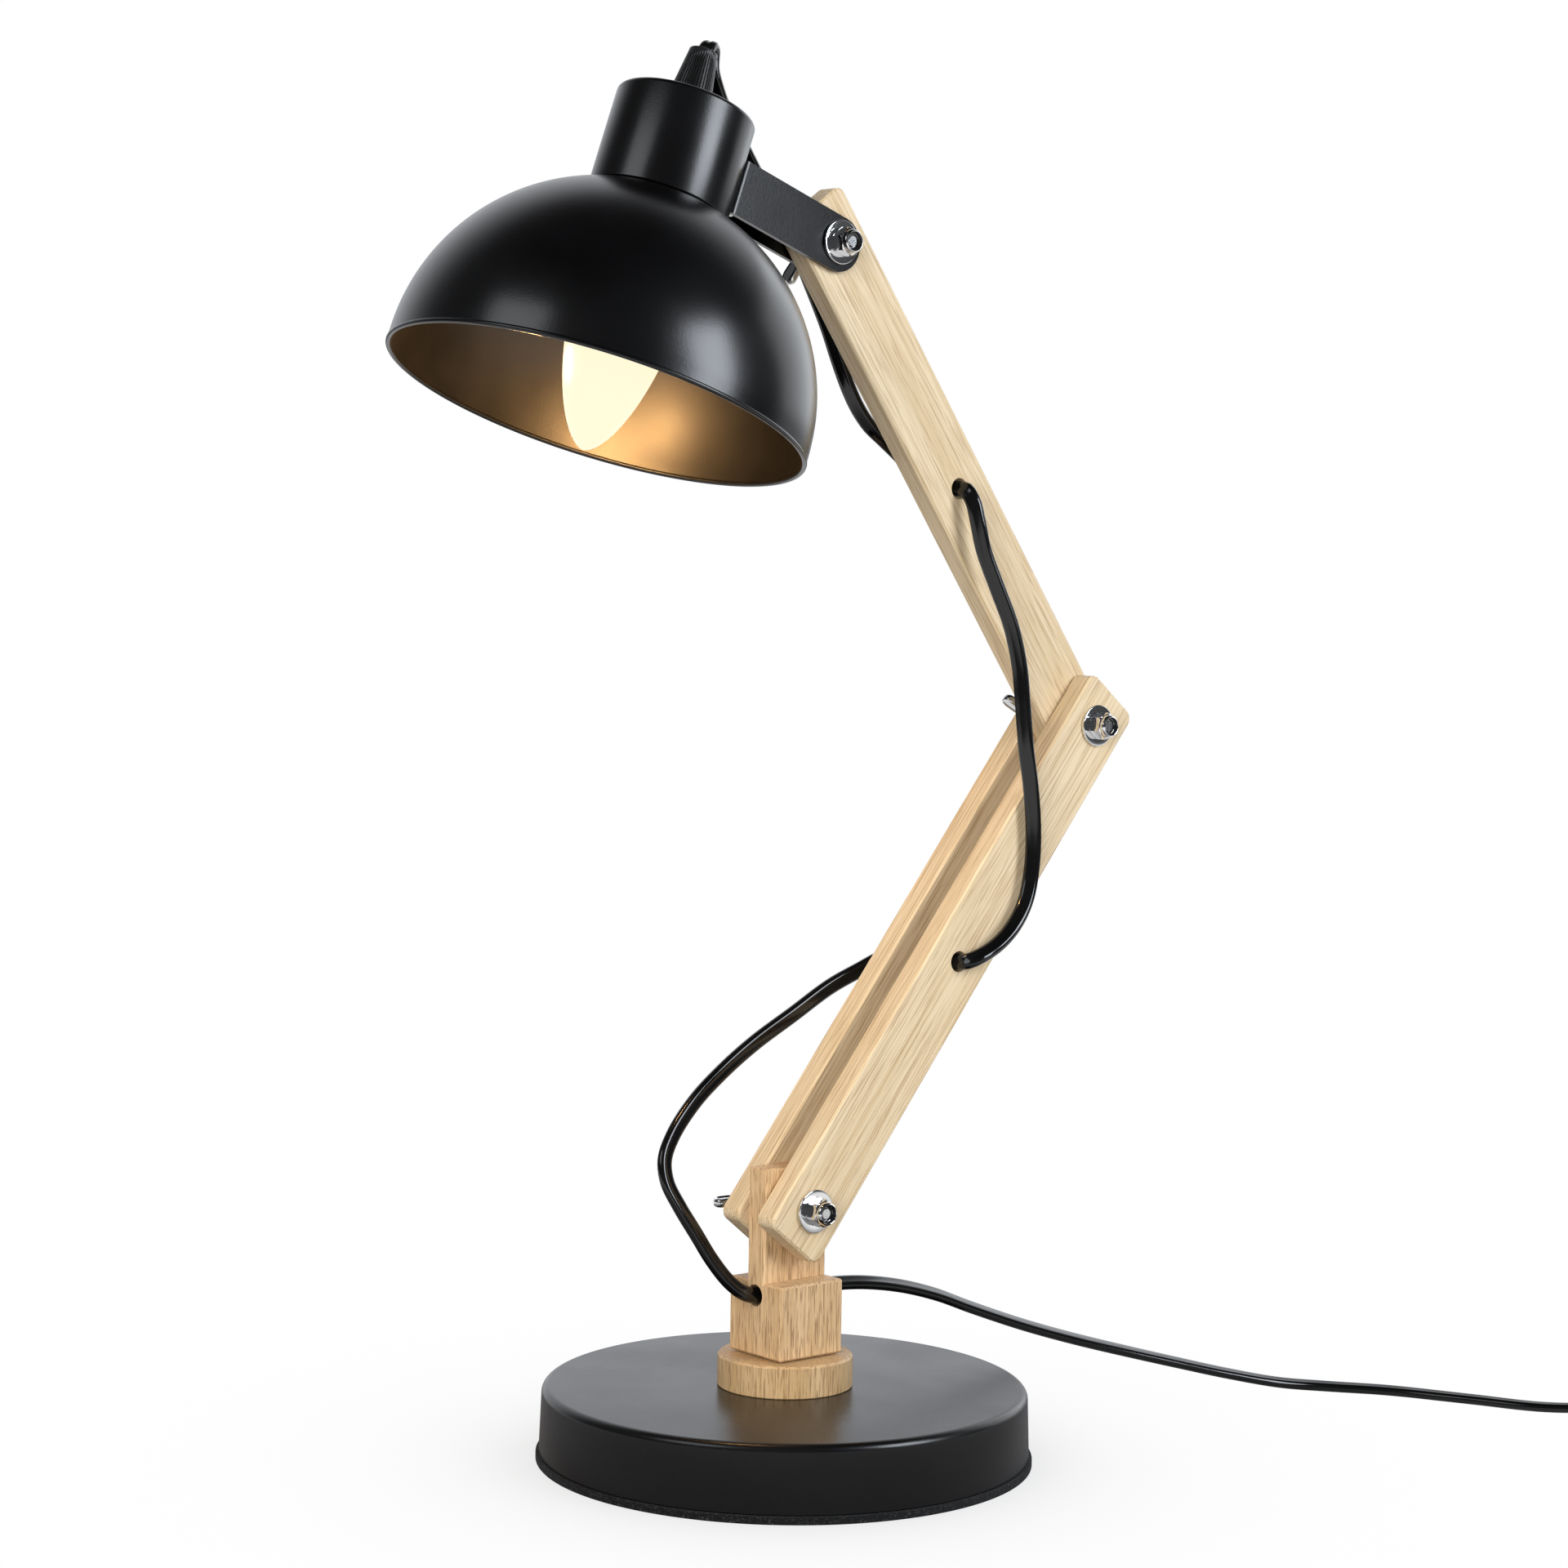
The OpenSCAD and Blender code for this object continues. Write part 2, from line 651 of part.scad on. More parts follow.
module collar_disc() {
    color(tan_wood)
        difference() {
            translate([0, 0, base_top])
                rotate_extrude()
                    polygon([[0, 0], [collar_d / 2 - 0.3, 0], [collar_d / 2, 0.3],
                             [collar_d / 2, collar_h - eased], [collar_d / 2 - eased, collar_h],
                             [0, collar_h]]);
            cylinder(d = swivel_d + 2 * turn_fit, h = 100);
        }
}

module thrust_washer() {
    color("black")
        translate([0, 0, collar_top])
            washer(thrust_d, swivel_d + 2 * turn_fit, thrust_t);
}

// Post
module post_block() {
    color(tan_wood)
        difference() {
            union() {
                eased_block(block_w, block_w, block_z, block_h);
                eased_block(block_w, tongue_t, ledge_z - 2 * eased, tongue_h + 2 * eased);
            }
            translate(shoulder)
                pivot_bore(stud_d + 2 * turn_fit);
            translate([0, 0, post_hole_z])
                rotate([0, 90, 0])
                    cylinder(d = cord_hole_d, h = 2 * block_w, center = true);
            translate([0, 0, block_z - 1])
                cylinder(d = insert_d + 2 * fixed_fit, h = insert_l + 1);
            translate([0, 0, block_z])
                cylinder(d = swivel_d + 2 * fixed_fit, h = swivel_tip - block_z + 0.5);
        }
}

module swivel_insert() {
    color(brass)
        translate([0, 0, block_z])
            washer(insert_d, swivel_d + 2 * fixed_fit, insert_l);
}

module swivel_bolt() {
    color(bright_steel) {
        translate([0, 0, head_top - swivel_head_h])
            hex(swivel_head_w, swivel_head_h);
        translate([0, 0, head_top - eps])
            cylinder(d = swivel_d, h = swivel_tip - head_top + eps);
    }
}

module swivel_spring() {
    color(bright_steel)
        translate([0, 0, head_top])
            washer(spring_d, swivel_d + 2 * fixed_fit, spring_t);
}

// Lower arm
module lower_strip(y0) {
    color(pale_wood)
        at_lower()
            difference() {
                strip(y0, strip_t, -lower_foot, lower_l + lower_top);
                pivot_bore(stud_d + 2 * fixed_fit);
                translate([0, 0, lower_l])
                    pivot_bore(stud_d + 2 * fixed_fit);
                translate([0, 0, lower_hole_at])
                    pivot_bore(cord_hole_d);
            }
}

module lower_arm_front() {
    lower_strip(-stack_half);
}

module lower_arm_rear() {
    lower_strip(inner_half);
}

module shoulder_stud() {
    color(bright_steel)
        at_lower()
            stud(stack_half);
}

module elbow_stud() {
    color(bright_steel)
        at_elbow()
            stud(stack_half);
}

module shoulder_washers() {
    color(bright_steel)
        at_lower()
            washer_pair(stack_half);
}

module elbow_washers() {
    color(bright_steel)
        at_elbow()
            washer_pair(stack_half);
}

module shoulder_lock_nut() {
    color(bright_steel)
        at_lower()
            lock_nut(stack_half);
}

module elbow_lock_nut() {
    color(bright_steel)
        at_elbow()
            lock_nut(stack_half);
}

module shoulder_wing_nut() {
    color(bright_steel)
        translate(shoulder)
            wing_nut(stack_half, shoulder_wing_turn);
}

module elbow_wing_nut() {
    color(bright_steel)
        translate(elbow)
            wing_nut(stack_half, elbow_wing_turn);
}

module head_wing_nut() {
    color(bright_steel)
        translate(head_pivot)
            wing_nut(ear_half, head_wing_turn);
}

// Upper arm
module upper_arm() {
    color(pale_wood)
        at_upper()
            difference() {
                strip(-tongue_t / 2, tongue_t, -upper_end, upper_l + upper_tip);
                pivot_bore(stud_d + 2 * turn_fit);
                translate([0, 0, upper_l])
                    pivot_bore(stud_d + 2 * turn_fit);
                translate([0, 0, upper_hole_at])
                    pivot_bore(cord_hole_d);
            }
}

// Head
module strap_bend() {
    difference() {
        rounded_rect(web_x, -ear_half, strap_w, ear_half, strap_bend_r);
        rounded_rect(web_x + strap_t, -inner_half, 2 * strap_w, inner_half, strap_bend_r - strap_t);
    }
}

module head_bracket() {
    color(black_coat)
        at_head()
            difference() {
                intersection() {
                    translate([0, 0, -strap_w])
                        linear_extrude(height = 2 * strap_w)
                            strap_bend();
                    slab(-2 * ear_half, 4 * ear_half)
                        translate([0, -strap_drop]) {
                            circle(d = strap_w);
                            translate([web_x - 1, -strap_w / 2])
                                square([1 - web_x, strap_w]);
                        }
                }
                pivot_bore(stud_d + 2 * fixed_fit);
                screw_places()
                    cylinder(d = screw_d + 2 * fixed_fit, h = 20, center = true);
            }
}

// The two bracket screws' places on the web, with z along +X.
module screw_places() {
    for (side = [-1, 1])
        translate([web_x, 0, -strap_drop + side * screw_gap / 2])
            rotate([0, 90, 0])
                children();
}

module bracket_screws() {
    shank = web_x + strap_t + bracket_nut_h - inner_wall_x + 0.8;
    color(bright_steel)
        at_head()
            screw_places()
                translate([0, 0, inner_wall_x - web_x - fixed_fit]) {
                    translate([0, 0, -screw_head_h])
                        cylinder(d = screw_head_d, h = screw_head_h);
                    translate([0, 0, -eps])
                        cylinder(d = screw_d, h = shank);
                }
}

module bracket_nuts() {
    color(bright_steel)
        at_head()
            screw_places()
                translate([0, 0, strap_t])
                    difference() {
                        rotate([0, 0, 30])
                            hex(bracket_nut_w, bracket_nut_h);
                        translate([0, 0, -1])
                            cylinder(d = screw_d + 2 * fixed_fit, h = bracket_nut_h + 2);
                    }
}

module head_stud() {
    color(bright_steel)
        at_head()
            stud(ear_half);
}

module head_washers() {
    color(bright_steel)
        at_head()
            washer_pair(ear_half);
}

module head_lock_nut() {
    color(bright_steel)
        at_head()
            lock_nut(ear_half);
}

module cap_section(inset, foot) {
    r = cap_d / 2 - inset;
    corner = cap_edge_r - min(inset, cap_edge_r - 0.2);
    polygon(concat([[0, foot], [r, foot]],
                   [for (a = [0:15:90]) [r - corner + corner * cos(a),
                                         cap_h - inset - corner + corner * sin(a)]],
                   [[0, cap_h - inset]]));
}

module cap() {
    color(black_coat)
        at_cap()
            difference() {
                rotate_extrude($fn = 96)
                    difference() {
                        cap_section(0, cap_foot);
                        cap_section(cap_wall, cap_foot - 1);
                    }
                cylinder(d = nipple_d + 2 * fixed_fit, h = 100);
                translate([head_reach, 0, pivot_rise])
                    screw_places()
                        cylinder(d = screw_d + 2 * fixed_fit, h = 20, center = true);
            }
}

// The half-round shade, from its top hole to the rolled lip.
module shade() {
    lip = [shade_r - shade_wall / 2, -shade_drop - shade_skirt];
    lip_start = acos(shade_wall / 2 / lip_r);
    first = asin(hole_r / shade_r);
    first_in = asin(hole_r / (shade_r - shade_wall));
    color(black_coat)
        at_cap()
            rotate_extrude($fn = 120)
                polygon(concat(
                    [for (k = [0:24]) let (a = first + (90 - first) * k / 24)
                        [shade_r * sin(a), shade_r * cos(a) - shade_drop]],
                    [for (k = [0:12]) let (a = lip_start - (180 + 2 * lip_start) * k / 12)
                        lip + lip_r * [cos(a), sin(a)]],
                    [for (k = [24:-1:0]) let (a = first_in + (90 - first_in) * k / 24)
                        [(shade_r - shade_wall) * sin(a), (shade_r - shade_wall) * cos(a) - shade_drop]]));
}

// Lamp holder: a moulded body with a flange over the shade and a thread below it.
module holder_body() {
    color(black_plastic)
        at_cap()
            rotate_extrude()
                polygon([[shell_r + 1, cap_rim_z], [neck_d / 2 + 1.3, cap_rim_z - 1.4],
                         [neck_d / 2 + 1.3, -holder_down], [holder_d / 2, -holder_down],
                         [holder_d / 2, flange_z], [flange_d / 2, flange_z],
                         [flange_d / 2, flange_z + flange_t], [holder_d / 2, flange_z + flange_t],
                         [holder_d / 2, holder_up - 3], [holder_d / 2 - 3, holder_up],
                         [nipple_d / 2 + fixed_fit, holder_up], [nipple_d / 2 + fixed_fit, contact_z + 2],
                         [shell_r + 1, contact_z + 2]]);
}

module holder_ring() {
    color(black_plastic)
        at_cap()
            rotate_extrude()
                polygon([[holder_d / 2 + fixed_fit, ring_top], [ring_d / 2, ring_top],
                         [ring_d / 2, ring_top - 2], [ring_d / 2 - 2.5, ring_top - ring_h],
                         [holder_d / 2 + fixed_fit, ring_top - ring_h]]);
}

module socket_shell() {
    color(brass)
        at_cap()
            translate([0, 0, cap_rim_z + 1])
                washer(2 * (shell_r + 1 - fixed_fit), 2 * shell_r, cap_end_z - cap_rim_z - 1);
}

module socket_contact() {
    color(brass)
        at_cap()
            translate([0, 0, contact_z + fixed_fit])
                cylinder(r = shell_r, h = 2 - 2 * fixed_fit);
}

module nipple() {
    color(bright_steel)
        at_cap()
            translate([0, 0, contact_z + 2.4])
                washer(nipple_d, nipple_bore, cap_h + 5 - contact_z - 2.4);
}

module nipple_nut() {
    nut_t = 3;
    color(bright_steel)
        at_cap()
            translate([0, 0, cap_h - cap_wall - nut_t])
                difference() {
                    hex(nipple_d + 4, nut_t);
                    translate([0, 0, -1])
                        cylinder(d = nipple_d + 2 * fixed_fit, h = nut_t + 2);
                }
}

// The ribbed cord grip on top of the cap.
module cord_grip() {
    socket_h = 5 + 2 * face_gap;
    top_bore = 7;
    points_per_rib = 4;
    count = grip_ribs * points_per_rib;
    color(black_plastic)
        at_cap()
            translate([0, 0, cap_h])
                difference() {
                    union() {
                        linear_extrude(height = grip_h, scale = grip_top_d / grip_d)
                            polygon([for (k = [0:count - 1])
                                let (r = grip_d / 2 - rib_depth * (k % points_per_rib < 2 ? 0 : 1))
                                r * [cos(360 * k / count), sin(360 * k / count)]]);
                        cylinder(d = grip_d + 0.6, h = 1.6);
                    }
                    translate([0, 0, -1])
                        cylinder(d = nipple_d + 2 * fixed_fit, h = socket_h + 1);
                    cylinder(d = top_bore, h = 100);
                }
}

// The bulb's outline: a long pointed nose, then a taper to the neck. d is the distance from the tip.
function bulb_half(d) = d < bulb_nose
    ? bulb_d / 2 * pow(1 - pow(1 - d / bulb_nose, 2), 0.6)
    : neck_d / 2 + (bulb_d - neck_d) / 4 * (1 + cos(180 * (d - bulb_nose) / (bulb_tip + neck_z - bulb_nose)));

module bulb_glass() {
    long = bulb_tip + neck_z;
    stops = concat([0.2, 0.6, 1.2, 2], [for (k = [1:24]) 3 + (long - 3) * k / 24]);
    color("lemonchiffon")
        at_cap()
            rotate_extrude($fn = 60)
                polygon(concat(
                    [[0, -bulb_tip]],
                    [for (d = stops) [bulb_half(d), d - bulb_tip]],
                    [for (k = [len(stops) - 1:-1:4]) [bulb_half(stops[k]) - glass_t, stops[k] - bulb_tip]],
                    [[0, stops[4] - bulb_tip]]));
}

module bulb_cap() {
    color(bright_steel)
        at_cap()
            rotate_extrude()
                polygon([[0, neck_z - 2], [neck_d / 2 - glass_t - fixed_fit, neck_z - 2],
                         [neck_d / 2 - glass_t - fixed_fit, neck_z], [neck_d / 2, neck_z + fixed_fit],
                         [screw_cap_d / 2, cap_rim_z], [screw_cap_d / 2, cap_end_z - 1.4],
                         [screw_cap_d / 2 - 2.6, cap_end_z + 1], [0, cap_end_z + 1]]);
}

module bulb_contact() {
    color(brass)
        at_cap()
            translate([0, 0, cap_end_z + 1])
                cylinder(r1 = 3.4, r2 = 2.6, h = contact_z - cap_end_z - 1);
}

// Cord
module cord_head() {
    color(black_cord)
        cord_tube(head_route, [-sin(fold_turn), cos(fold_turn), 0], 0);
}

module cord_elbow() {
    color(black_cord)
        cord_tube(elbow_route, upper_pt([1, 0, 0.5]) - elbow, 0);
}

module cord_shoulder() {
    color(black_cord)
        cord_tube(shoulder_route, lower_pt([0.8, 0, -0.6]) - shoulder, 0);
}

module mains_lead() {
    color(black_cord)
        cord_tube(lead_route, [0, cos(lead_lean), sin(lead_lean)], -lead_lean,
                  enter = [cos(lay_turn), sin(lay_turn), 0]);
}

module switch_lead() {
    color(black_cord)
        lying()
            cord_tube(switch_lead_line, [0, 1, 0], 90, leave = [1, 0, 0], enter = [1, 0, 0]);
}

module mains_coil() {
    color(black_cord)
        lying()
            cord_tube(coil_line, [0, 0, 1], 0, 6);
}

module plug_lead() {
    color(black_cord)
        lying()
            cord_tube(plug_lead_line, [0, 0, 1], 90, leave = [0, 1, 0], enter = [0, 1, 0]);
}

// The tie goes round the coil's bundle of turns.
module coil_tie() {
    room = 0.25;
    tie_turn = 145;
    inside = coil_radius(coil_half) - cord_t / 2 - room - coil_step / 4;
    outside = coil_r + cord_t / 2 + room;
    low = coil_lift - room;
    high = coil_high_z + cord_w / 2 + room;
    color("dimgray")
        lying()
            translate([coil_at.x, coil_at.y, 0])
                rotate([0, 0, tie_turn])
                    slab(-tie_w / 2, tie_w)
                        difference() {
                            rounded_rect(inside - tie_t, low - tie_t, outside + tie_t, high + tie_t, 1.2);
                            rounded_rect(inside, low, outside, high, 0.5);
                        }
}

// Plug
module plug_body() {
    neck_w = cord_w + 5;
    color(black_plastic)
        lying()
            translate([plug_x, plug_y, plug_z])
                rotate([-90, 0, 0]) {
                    hull() {
                        linear_extrude(height = 1)
                            plug_oval(neck_w - 2, cord_t + 4);
                        translate([0, 0, sleeve_l - 1])
                            linear_extrude(height = 1)
                                plug_oval(neck_w + 2, plug_t - 3.4);
                    }
                    hull() {
                        translate([0, 0, sleeve_l - eps])
                            linear_extrude(height = 1)
                                plug_oval(neck_w + 6, plug_t - 2);
                        translate([0, 0, sleeve_l + plug_l * 0.5])
                            linear_extrude(height = plug_l * 0.5)
                                plug_oval(plug_w, plug_t);
                    }
                }
}

module plug_oval(w, t) {
    r = t / 2 - 0.6;
    offset(r = r, $fn = 32)
        square([w - 2 * r, t - 2 * r], center = true);
}

module plug_pins() {
    color(bright_steel)
        lying()
            translate([plug_x, plug_y + sleeve_l + plug_l, plug_z])
                for (side = [-1, 1])
                    translate([side * pin_gap / 2, 0, 0])
                        rotate([-90, 0, 0]) {
                            cylinder(d = pin_d, h = pin_l - 1.2, $fn = 32);
                            translate([0, 0, pin_l - 1.2 - eps])
                                cylinder(d1 = pin_d, d2 = pin_d - 1.6, h = 1.2 + eps, $fn = 32);
                        }
}

// Switch on the lead: x runs along it and the cord enters at both ends.
module switch_outline(inset) {
    rounded_rect(inset, -switch_w / 2 + inset, switch_l - inset, switch_w / 2 - inset, 9);
}

screw_up_x = 8.5;

module switch_screw_bores(d) {
    for (x = [screw_up_x, switch_l - screw_up_x])
        translate([x, 0, -1])
            cylinder(d = d, h = 3.4, $fn = 32);
}

module switch_base() {
    color(black_plastic)
        lying()
            difference() {
                hull() {
                    linear_extrude(height = 1)
                        switch_outline(1);
                    translate([0, 0, 1.2])
                        linear_extrude(height = switch_low_h - 1.2)
                            switch_outline(0);
                }
                switch_screw_bores(4.6);
            }
}

rocker_x = switch_l / 2;
rocker_pin_d = 3;
rocker_z = switch_low_h + switch_top_h * 0.5;
rocker_room = 0.5;

module switch_cover() {
    color(black_plastic)
        lying()
            difference() {
                hull() {
                    translate([0, 0, switch_low_h])
                        linear_extrude(height = switch_top_h - 2.4)
                            switch_outline(0);
                    translate([0, 0, switch_low_h])
                        linear_extrude(height = switch_top_h)
                            switch_outline(2.6);
                }
                translate([rocker_x - rocker_l / 2 - rocker_room, -rocker_w / 2 - rocker_room, switch_low_h - 1])
                    cube([rocker_l + 2 * rocker_room, rocker_w + 2 * rocker_room, switch_top_h + 2]);
                translate([rocker_x, 0, rocker_z])
                    pivot_bore_short(rocker_w + 6, rocker_pin_d + 2 * turn_fit);
            }
}

module pivot_bore_short(l, d) {
    rotate([90, 0, 0])
        cylinder(d = d, h = l, center = true, $fn = 32);
}

module switch_rocker() {
    reach = switch_low_h + switch_top_h + rocker_up - rocker_z;
    color([0.14, 0.14, 0.15])
        lying()
            translate([rocker_x, 0, rocker_z])
                rotate([0, rocker_tilt, 0]) {
                    slab(-rocker_w / 2, rocker_w)
                        intersection() {
                            translate([-rocker_l / 2 + 0.5, -1.2])
                                square([rocker_l - 1, reach + 1.2]);
                            circle(r = norm([rocker_l / 2, reach]) - 2.2);
                        }
                    pivot_bore_short(rocker_w + 4, rocker_pin_d);
                }
}

module switch_screws() {
    color(bright_steel)
        lying()
            for (x = [screw_up_x, switch_l - screw_up_x])
                translate([x, 0, 0.9])
                    cylinder(d = 4.4, h = 1.4, $fn = 32);
}

base_shell();
base_weight();
felt_pad();
collar_disc();
thrust_washer();
post_block();
swivel_insert();
swivel_bolt();
swivel_spring();
lower_arm_front();
lower_arm_rear();
shoulder_stud();
elbow_stud();
shoulder_washers();
elbow_washers();
shoulder_lock_nut();
elbow_lock_nut();
shoulder_wing_nut();
elbow_wing_nut();
head_wing_nut();
upper_arm();
head_bracket();
head_stud();
head_washers();
head_lock_nut();
bracket_screws();
bracket_nuts();
cap();
shade();
holder_body();
holder_ring();
socket_shell();
socket_contact();
nipple();
nipple_nut();
cord_grip();
bulb_glass();
bulb_cap();
bulb_contact();
cord_head();
cord_elbow();
cord_shoulder();
mains_lead();
switch_lead();
mains_coil();
coil_tie();
plug_lead();
plug_body();
plug_pins();
switch_base();
switch_cover();
switch_rocker();
switch_screws();
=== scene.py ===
# %% [markdown]
# # A wooden swing-arm desk lamp
# The solids of the lamp are already made and jointed. This script dresses them: it lays the real cord
# along its route, turns the round pieces as smooth meshes, and gives every surface its finish. All
# drawings below are in millimetres, in the frame of the part that carries them, and are brought to
# metres when a piece is made.

# %% Load the jointed solids
import math

import bmesh
import bpy
from mathutils import Matrix, Vector


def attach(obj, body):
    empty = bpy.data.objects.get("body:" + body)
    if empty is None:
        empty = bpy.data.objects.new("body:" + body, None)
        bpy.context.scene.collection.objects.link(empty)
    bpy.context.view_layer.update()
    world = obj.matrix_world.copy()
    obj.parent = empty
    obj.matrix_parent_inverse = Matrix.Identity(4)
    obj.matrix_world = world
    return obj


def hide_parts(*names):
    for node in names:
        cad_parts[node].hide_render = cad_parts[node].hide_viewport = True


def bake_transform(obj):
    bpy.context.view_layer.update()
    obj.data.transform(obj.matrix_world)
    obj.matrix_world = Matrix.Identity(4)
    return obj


MM = 0.001
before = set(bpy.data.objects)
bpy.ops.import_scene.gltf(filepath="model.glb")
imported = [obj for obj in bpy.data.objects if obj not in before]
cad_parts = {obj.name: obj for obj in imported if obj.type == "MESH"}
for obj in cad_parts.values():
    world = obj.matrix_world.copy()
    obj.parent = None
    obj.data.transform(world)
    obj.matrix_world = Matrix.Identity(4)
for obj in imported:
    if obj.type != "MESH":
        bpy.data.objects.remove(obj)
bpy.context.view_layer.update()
scene = bpy.context.scene
scene.view_settings.view_transform = "Standard"

# %% [markdown]
# ## Camera
# The photograph was taken a little above the middle of the lamp with a long lens. The eye point and
# the lens were solved from known sizes of the lamp: the base's two rims, the pivots and the shade's
# rim. A roll of just under a degree is kept, because the picture's uprights lean by that much.

# %% Camera
LENS_MM, SENSOR_MM, ROLL_DEG = 80.11, 36, 0.93
EYE = Vector((-0.71782, -0.84721, 0.29074))
AHEAD = Vector((0.64273, 0.76328, -0.06555)).normalized()


def in_scene(name, data):
    """A new object with this data, put into the scene."""
    thing = bpy.data.objects.new(name, data)
    scene.collection.objects.link(thing)
    return thing


def camera_axes(ahead, roll):
    """The camera's right, up and back directions, rolled about the line of sight."""
    right = ahead.cross(Vector((0, 0, 1))).normalized()
    up = right.cross(ahead)
    c, s = math.cos(roll), math.sin(roll)
    return right * c + up * s, up * c - right * s, -ahead


camera = in_scene("camera", bpy.data.cameras.new("camera"))
camera.data.lens, camera.data.sensor_width = LENS_MM, SENSOR_MM
camera.data.clip_start, camera.data.clip_end = 0.01, 100
camera.matrix_world = Matrix(camera_axes(AHEAD, math.radians(ROLL_DEG))).transposed().to_4x4()
camera.location = EYE
scene.camera = camera
print("camera at", [round(x, 3) for x in camera.location])

# %% [markdown]
# ## Frames of the lamp
# Each arm is drawn upright in its own frame and then leaned about Y at its pivot, as a maker would
# draw one strip of wood. These matrices carry a drawing in millimetres to its place in metres.

# %% Frames
SHOULDER, ELBOW = (0, 0, 82.25), (122.235, 0, 234.824)
HEAD_PIVOT = (9.792, 0, 389.589)
LOWER_LEAN, UPPER_LEAN, HEAD_TILT = 38.7, -36, 19.8
HEAD_REACH, PIVOT_RISE = 66.7, 17.1
LAY_SPOT, LAY_TURN = (279, -133.5, 0), -20


def placed(at, lean=0.0, turn=0.0):
    """A frame at a point in millimetres, leaned about Y and turned about Z."""
    return (Matrix.Scale(MM, 4) @ Matrix.Translation(Vector(at))
            @ Matrix.Rotation(math.radians(lean), 4, "Y")
            @ Matrix.Rotation(math.radians(turn), 4, "Z"))


AT_ROOT = placed((0, 0, 0))
AT_LOWER, AT_ELBOW = placed(SHOULDER, LOWER_LEAN), placed(ELBOW, LOWER_LEAN)
AT_UPPER, AT_HEAD = placed(ELBOW, UPPER_LEAN), placed(HEAD_PIVOT, HEAD_TILT)
AT_CAP = AT_HEAD @ Matrix.Translation((-HEAD_REACH, 0, -PIVOT_RISE))
AT_LAY = placed(LAY_SPOT, turn=LAY_TURN)
print("cap seam at", [round(x, 4) for x in AT_CAP.translation])

# %% [markdown]
# ## The flat twin cord
# The cord is two round cores side by side in one black skin, 5.4 by 3.2 mm, so its section is a
# figure of eight with a groove along each broad side. It leaves the cap, crosses each arm through a
# drilled hole, and runs out of the post to a switch, a coil and a plug. The route points repeat the
# solids' own route. A smooth curve goes through them, and the section's broad side is carried along
# without spinning, which is how a real flat cord lies.

# %% Cord routes
POST_HOLE_Z, UPPER_HOLE, LOWER_HOLE = 54.45, 97, 97.5
FOLD_R, FOLD_IN, FOLD_Z, FOLD_TURN = 3.2, 1.3, 34.9, math.radians(34)


def at(where, points):
    """Points of one frame, in millimetres, as points in metres."""
    return [where @ Vector(p) for p in points]


def fold_point(deg):
    """A point of the tight fold over the cord grip's rim."""
    a = math.radians(deg)
    out = FOLD_IN + FOLD_R * (1 - math.cos(a))
    return (-HEAD_REACH + out * math.cos(FOLD_TURN), out * math.sin(FOLD_TURN), FOLD_Z + FOLD_R * math.sin(a))


fold = [fold_point(deg) for deg in range(0, 161, 40)]
head_route = (
    at(AT_HEAD, [(fold[0][0], fold[0][1], FOLD_Z - 4), *fold, (-59, 4.5, 32.4), (-55.6, 4.9, 28.7),
                 (-50, 6.4, 24.9), (-41, 9.6, 21.4), (-32, 12, 17.2), (-21, 14.4, 11.8), (-9.5, 18.2, 7.4)])
    + at(AT_UPPER, [(4.5, 21, 192), (2.5, 20.5, 176), (-0.6, 19, 161), (-3.6, 18, 150), (-5.9, 17, 140),
                    (-6.7, 16.3, 133), (-6.3, 15.5, 126), (-4.3, 14.6, 119), (-2.2, 13.4, 111),
                    (-1.2, 12, 103.5), (-0.5, 9.8, 98.5), (0, 6.5, UPPER_HOLE), (0, 0, UPPER_HOLE)]))
elbow_route = (
    at(AT_UPPER, [(0, 0, UPPER_HOLE), (0, -4, UPPER_HOLE), (-0.2, -7.4, 96.4), (-1.8, -10, 93),
                  (-4.5, -11, 87), (-8, -11.5, 78), (-11.2, -13, 65), (-14.4, -14.6, 52),
                  (-19.7, -15.8, 39.5)])
    + at(AT_LOWER, [(-34.6, -16.5, 178), (-24.9, -17, 168), (-13.8, -17, 158.5), (-3, -17, 147.5),
                    (4.5, -17, 137), (8, -17.5, 128), (8.4, -18, 118.5), (6, -18.5, 109.5),
                    (2.2, -18.4, 102), (0.4, -16.5, 98.4), (0, -13.5, LOWER_HOLE), (0, 0, LOWER_HOLE)]))
shoulder_route = (
    at(AT_LOWER, [(0, 0, LOWER_HOLE), (0, 13.5, LOWER_HOLE), (-0.6, 17.5, 96.6), (-2.6, 20.6, 92.5),
                  (-6.3, 22, 85.5), (-13, 22.5, 74)])
    + at(AT_ROOT, [(19.5, 22, 140), (2.5, 21, 132), (-12, 19.5, 124), (-25.5, 17, 115.5), (-36, 14.5, 106),
                   (-40.7, 12.5, 99), (-41.2, 10.5, 92.5), (-38, 8, 84.5), (-33, 5.6, 75.5),
                   (-28.2, 3.4, 67), (-23, 1.4, 60), (-18, 0.3, 56), (-13, 0, POST_HOLE_Z),
                   (0, 0, POST_HOLE_Z)]))
lead_route = (
    at(AT_ROOT, [(0, 0, POST_HOLE_Z), (13, 0, POST_HOLE_Z), (24, 0, 54), (35, -0.5, 52.8), (49, -1.5, 50),
                 (63, -3, 45.7), (77, -5, 40), (98, -8.5, 32), (119, -12.5, 25), (139, -17.5, 19),
                 (158.5, -23.5, 13.4), (178, -29.8, 8), (196, -37.2, 3.8), (211, -46.5, 2.1),
                 (225, -62, 1.7), (238, -87, 1.7), (250, -111, 1.8), (259, -123.4, 3), (270, -130.2, 5)])
    + at(AT_LAY, [(0, 0, 6)]))
print("route points:", [len(r) for r in (head_route, elbow_route, shoulder_route, lead_route)])

